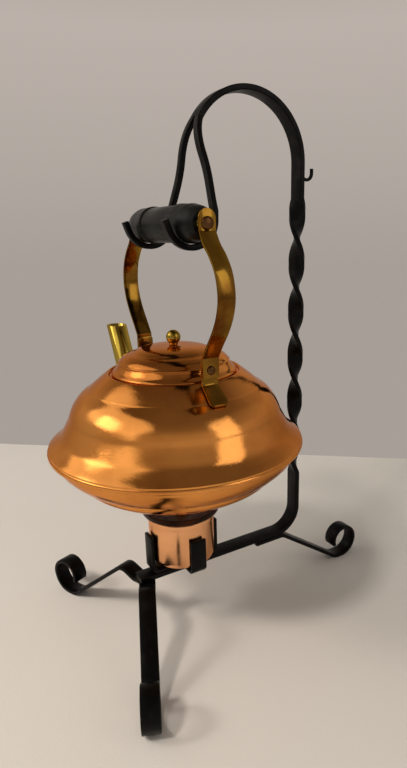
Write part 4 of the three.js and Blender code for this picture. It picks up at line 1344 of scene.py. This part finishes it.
def make_handle():
    """Rod and grip, and the pieces at the grip's right end with a copy of each at its left end."""
    make_rod()
    make_grip()
    right = [
        (make_strap(), "handle_strap", AGED_BRASS),
        (make_lug(), "handle_lug", AGED_BRASS),
        (make_rivet(), "lug_rivet", DARK_BRASS),
        (make_collar(), "grip_collar", BRASS),
    ]
    names = [piece.name for piece, *_ in right]
    left = [(copied(piece), *rest) for piece, *rest in right]
    for word, turn, pieces in (("right", 0, right), ("left", math.pi, left)):
        for name, (piece, node, material) in zip(names, pieces):
            piece.name = f"{name}_{word}"
            piece.data.name = piece.name
            piece.rotation_euler.z = turn
            piece.location = KETTLE
            apply_place(piece)
            place_piece(piece, f"{node}_{word}", material)


# Floor, light and camera

# Place and angles of the camera, its frame and lens in pixels, and its sensor in millimetres
CAMERA_PLACE = Vector((344.7, -164.0, 292.1)) * MM
CAMERA_YAW = 57.8
CAMERA_PITCH = 15.27
CAMERA_ROLL = -0.70
FRAME_WIDTH = 407
FRAME_HEIGHT = 768
FOCAL_PIXELS = 556.3
CENTRE_X = 239.0
CENTRE_Y = 385.1
SENSOR = 36.0

# Two places on the far edge of the table, and half its width, in metres
EDGE_LEFT = Vector((-0.475, -0.097, 0))
EDGE_RIGHT = Vector((-0.108, 0.347, 0))
TABLE_REACH = 3.0

# Place that the lamps face, and their colours
LIT_PLACE = Vector((0, 0, 0.15))
LAMP_WHITE = (1.0, 0.96, 0.91)
DAY_WHITE = (1.0, 0.97, 0.92)
SIDE_WHITE = (1.0, 0.95, 0.88)


def make_table():
    """Pale table top that ends behind the object."""
    along = (EDGE_RIGHT - EDGE_LEFT).normalized()
    inward = Vector((along.y, -along.x, 0))
    deselect()
    bpy.ops.mesh.primitive_plane_add(
        size=2 * TABLE_REACH, location=(EDGE_LEFT + EDGE_RIGHT) / 2 + inward * TABLE_REACH,
        rotation=(0, 0, math.atan2(along.y, along.x)),
    )
    table = name_it("table_top")
    apply_place(table)
    material, tree, shader, place = new_material("pale_table")
    shader.inputs["Roughness"].default_value = 0.9
    shader.inputs["Specular IOR Level"].default_value = 0.1
    darker, paler = (0.56, 0.51, 0.455, 1), (0.63, 0.58, 0.52, 1)
    pale = blend(tree, noise(tree, place, scale=3), darker, paler)
    tree.links.new(pale, shader.inputs["Base Color"])
    bump(tree, shader, noise(tree, place, scale=700), strength=0.3, distance=0.4)
    table.data.materials.append(material)


def add_lamp(name, direction, distance, size, power, colour, mirrored=True):
    """Soft lamp that faces the object from a direction; a lamp may be left out of reflections."""
    light = bpy.data.lights.new(name, "AREA")
    light.shape = "RECTANGLE"
    light.size, light.size_y = size
    light.energy = power
    light.color = colour
    lamp = bpy.data.objects.new(name, light)
    bpy.context.scene.collection.objects.link(lamp)
    toward = Vector(direction).normalized()
    lamp.location = LIT_PLACE + toward * distance
    lamp.rotation_mode = "QUATERNION"
    lamp.rotation_quaternion = (-toward).to_track_quat("-Z", "Y")
    lamp.visible_glossy = mirrored


def make_lamps():
    """Two small lamps for the shadows, which metal doesn't mirror, and three soft ones."""
    add_lamp("key", (0.20, -0.61, 0.77), distance=1.7, size=(0.22, 0.22), power=13.0,
             colour=LAMP_WHITE, mirrored=False)
    add_lamp("second_key", (-0.24, -0.78, 0.58), distance=1.7, size=(0.3, 0.3), power=7.0,
             colour=LAMP_WHITE, mirrored=False)
    add_lamp("curtain", (-0.22, -0.72, 0.66), distance=1.8, size=(2.4, 1.2), power=8.0,
             colour=DAY_WHITE)
    add_lamp("window", (-0.30, -0.78, 0.52), distance=1.7, size=(0.7, 0.5), power=2.6,
             colour=DAY_WHITE)
    add_lamp("side", (0.85, 0.45, 0.5), distance=1.6, size=(0.7, 1.1), power=2.4,
             colour=SIDE_WHITE)


# Colours of the room by the height that is looked at, as the sine of its angle above the horizon
ROOM_COLOURS = [
    (-0.05, (0.385, 0.345, 0.31, 1)),
    (0.3, (0.50, 0.44, 0.40, 1)),
    (0.5, (0.36, 0.31, 0.27, 1)),
    (0.8, (0.16, 0.13, 0.105, 1)),
]


def room_colour(tree):
    """Colour of the room in the direction that is looked in."""
    split = tree.nodes.new("ShaderNodeSeparateXYZ")
    tree.links.new(tree.nodes.new("ShaderNodeTexCoord").outputs["Generated"], split.inputs[0])
    room = tree.nodes.new("ShaderNodeValToRGB")
    lowest, highest = ROOM_COLOURS[0][0], 1.0
    ramp = room.color_ramp
    while len(ramp.elements) < len(ROOM_COLOURS):
        ramp.elements.new(1.0)
    for element, (height, colour) in zip(ramp.elements, ROOM_COLOURS):
        element.position = (height - lowest) / (highest - lowest)
        element.color = colour
    tree.links.new(mapped(tree, split.outputs["Z"], lowest, highest), room.inputs[0])
    return room.outputs[0]


def make_room():
    """Soft light from all round, and a warm grey room that the camera and the metal see."""
    world = bpy.data.worlds.new("room")
    bpy.context.scene.world = world
    world.use_nodes = True
    tree = world.node_tree
    tree.nodes.clear()
    out = tree.nodes.new("ShaderNodeOutputWorld")
    seen = add(tree, "ShaderNodeBackground", None, Strength=1.0)
    tree.links.new(room_colour(tree), seen.inputs["Color"])
    soft = add(tree, "ShaderNodeBackground", None, Color=(1.0, 0.98, 0.95, 1), Strength=0.38)
    path = tree.nodes.new("ShaderNodeLightPath")
    camera_ray, glossy_ray = path.outputs["Is Camera Ray"], path.outputs["Is Glossy Ray"]
    either = worked_out(tree, "MAXIMUM", camera_ray, glossy_ray)
    sees_room = worked_out(tree, "MAXIMUM", either, path.outputs["Is Transmission Ray"])
    mix = tree.nodes.new("ShaderNodeMixShader")
    tree.links.new(sees_room, mix.inputs[0])
    tree.links.new(soft.outputs[0], mix.inputs[1])
    tree.links.new(seen.outputs[0], mix.inputs[2])
    tree.links.new(mix.outputs[0], out.inputs["Surface"])


def make_camera():
    """Camera at the photograph's viewing angle."""
    yaw, pitch, roll = (math.radians(a) for a in (CAMERA_YAW, CAMERA_PITCH, CAMERA_ROLL))
    level_ahead = Vector((-math.sin(yaw), math.cos(yaw), 0))
    ahead = level_ahead * math.cos(pitch) + Vector((0, 0, -math.sin(pitch)))
    level = Vector((math.cos(yaw), math.sin(yaw), 0))
    upright = level.cross(ahead)
    right = level * math.cos(roll) + upright * math.sin(roll)
    up = upright * math.cos(roll) - level * math.sin(roll)
    data = bpy.data.cameras.new("camera")
    data.sensor_width = SENSOR
    data.lens = FOCAL_PIXELS / FRAME_HEIGHT * SENSOR
    data.shift_x = (FRAME_WIDTH / 2 - CENTRE_X) / FRAME_HEIGHT
    data.shift_y = (CENTRE_Y - FRAME_HEIGHT / 2) / FRAME_HEIGHT
    data.clip_start = 0.01
    camera = bpy.data.objects.new("camera", data)
    bpy.context.scene.collection.objects.link(camera)
    camera.rotation_mode = "QUATERNION"
    camera.rotation_quaternion = Matrix((right, up, -ahead)).transposed().to_quaternion()
    camera.location = AXIS + CAMERA_PLACE
    bpy.context.scene.camera = camera


make_camera()
make_stand()
make_burner()
make_kettle()
make_handle()
make_table()
make_lamps()
make_room()
bpy.context.scene.view_settings.view_transform = "Standard"
deselect()
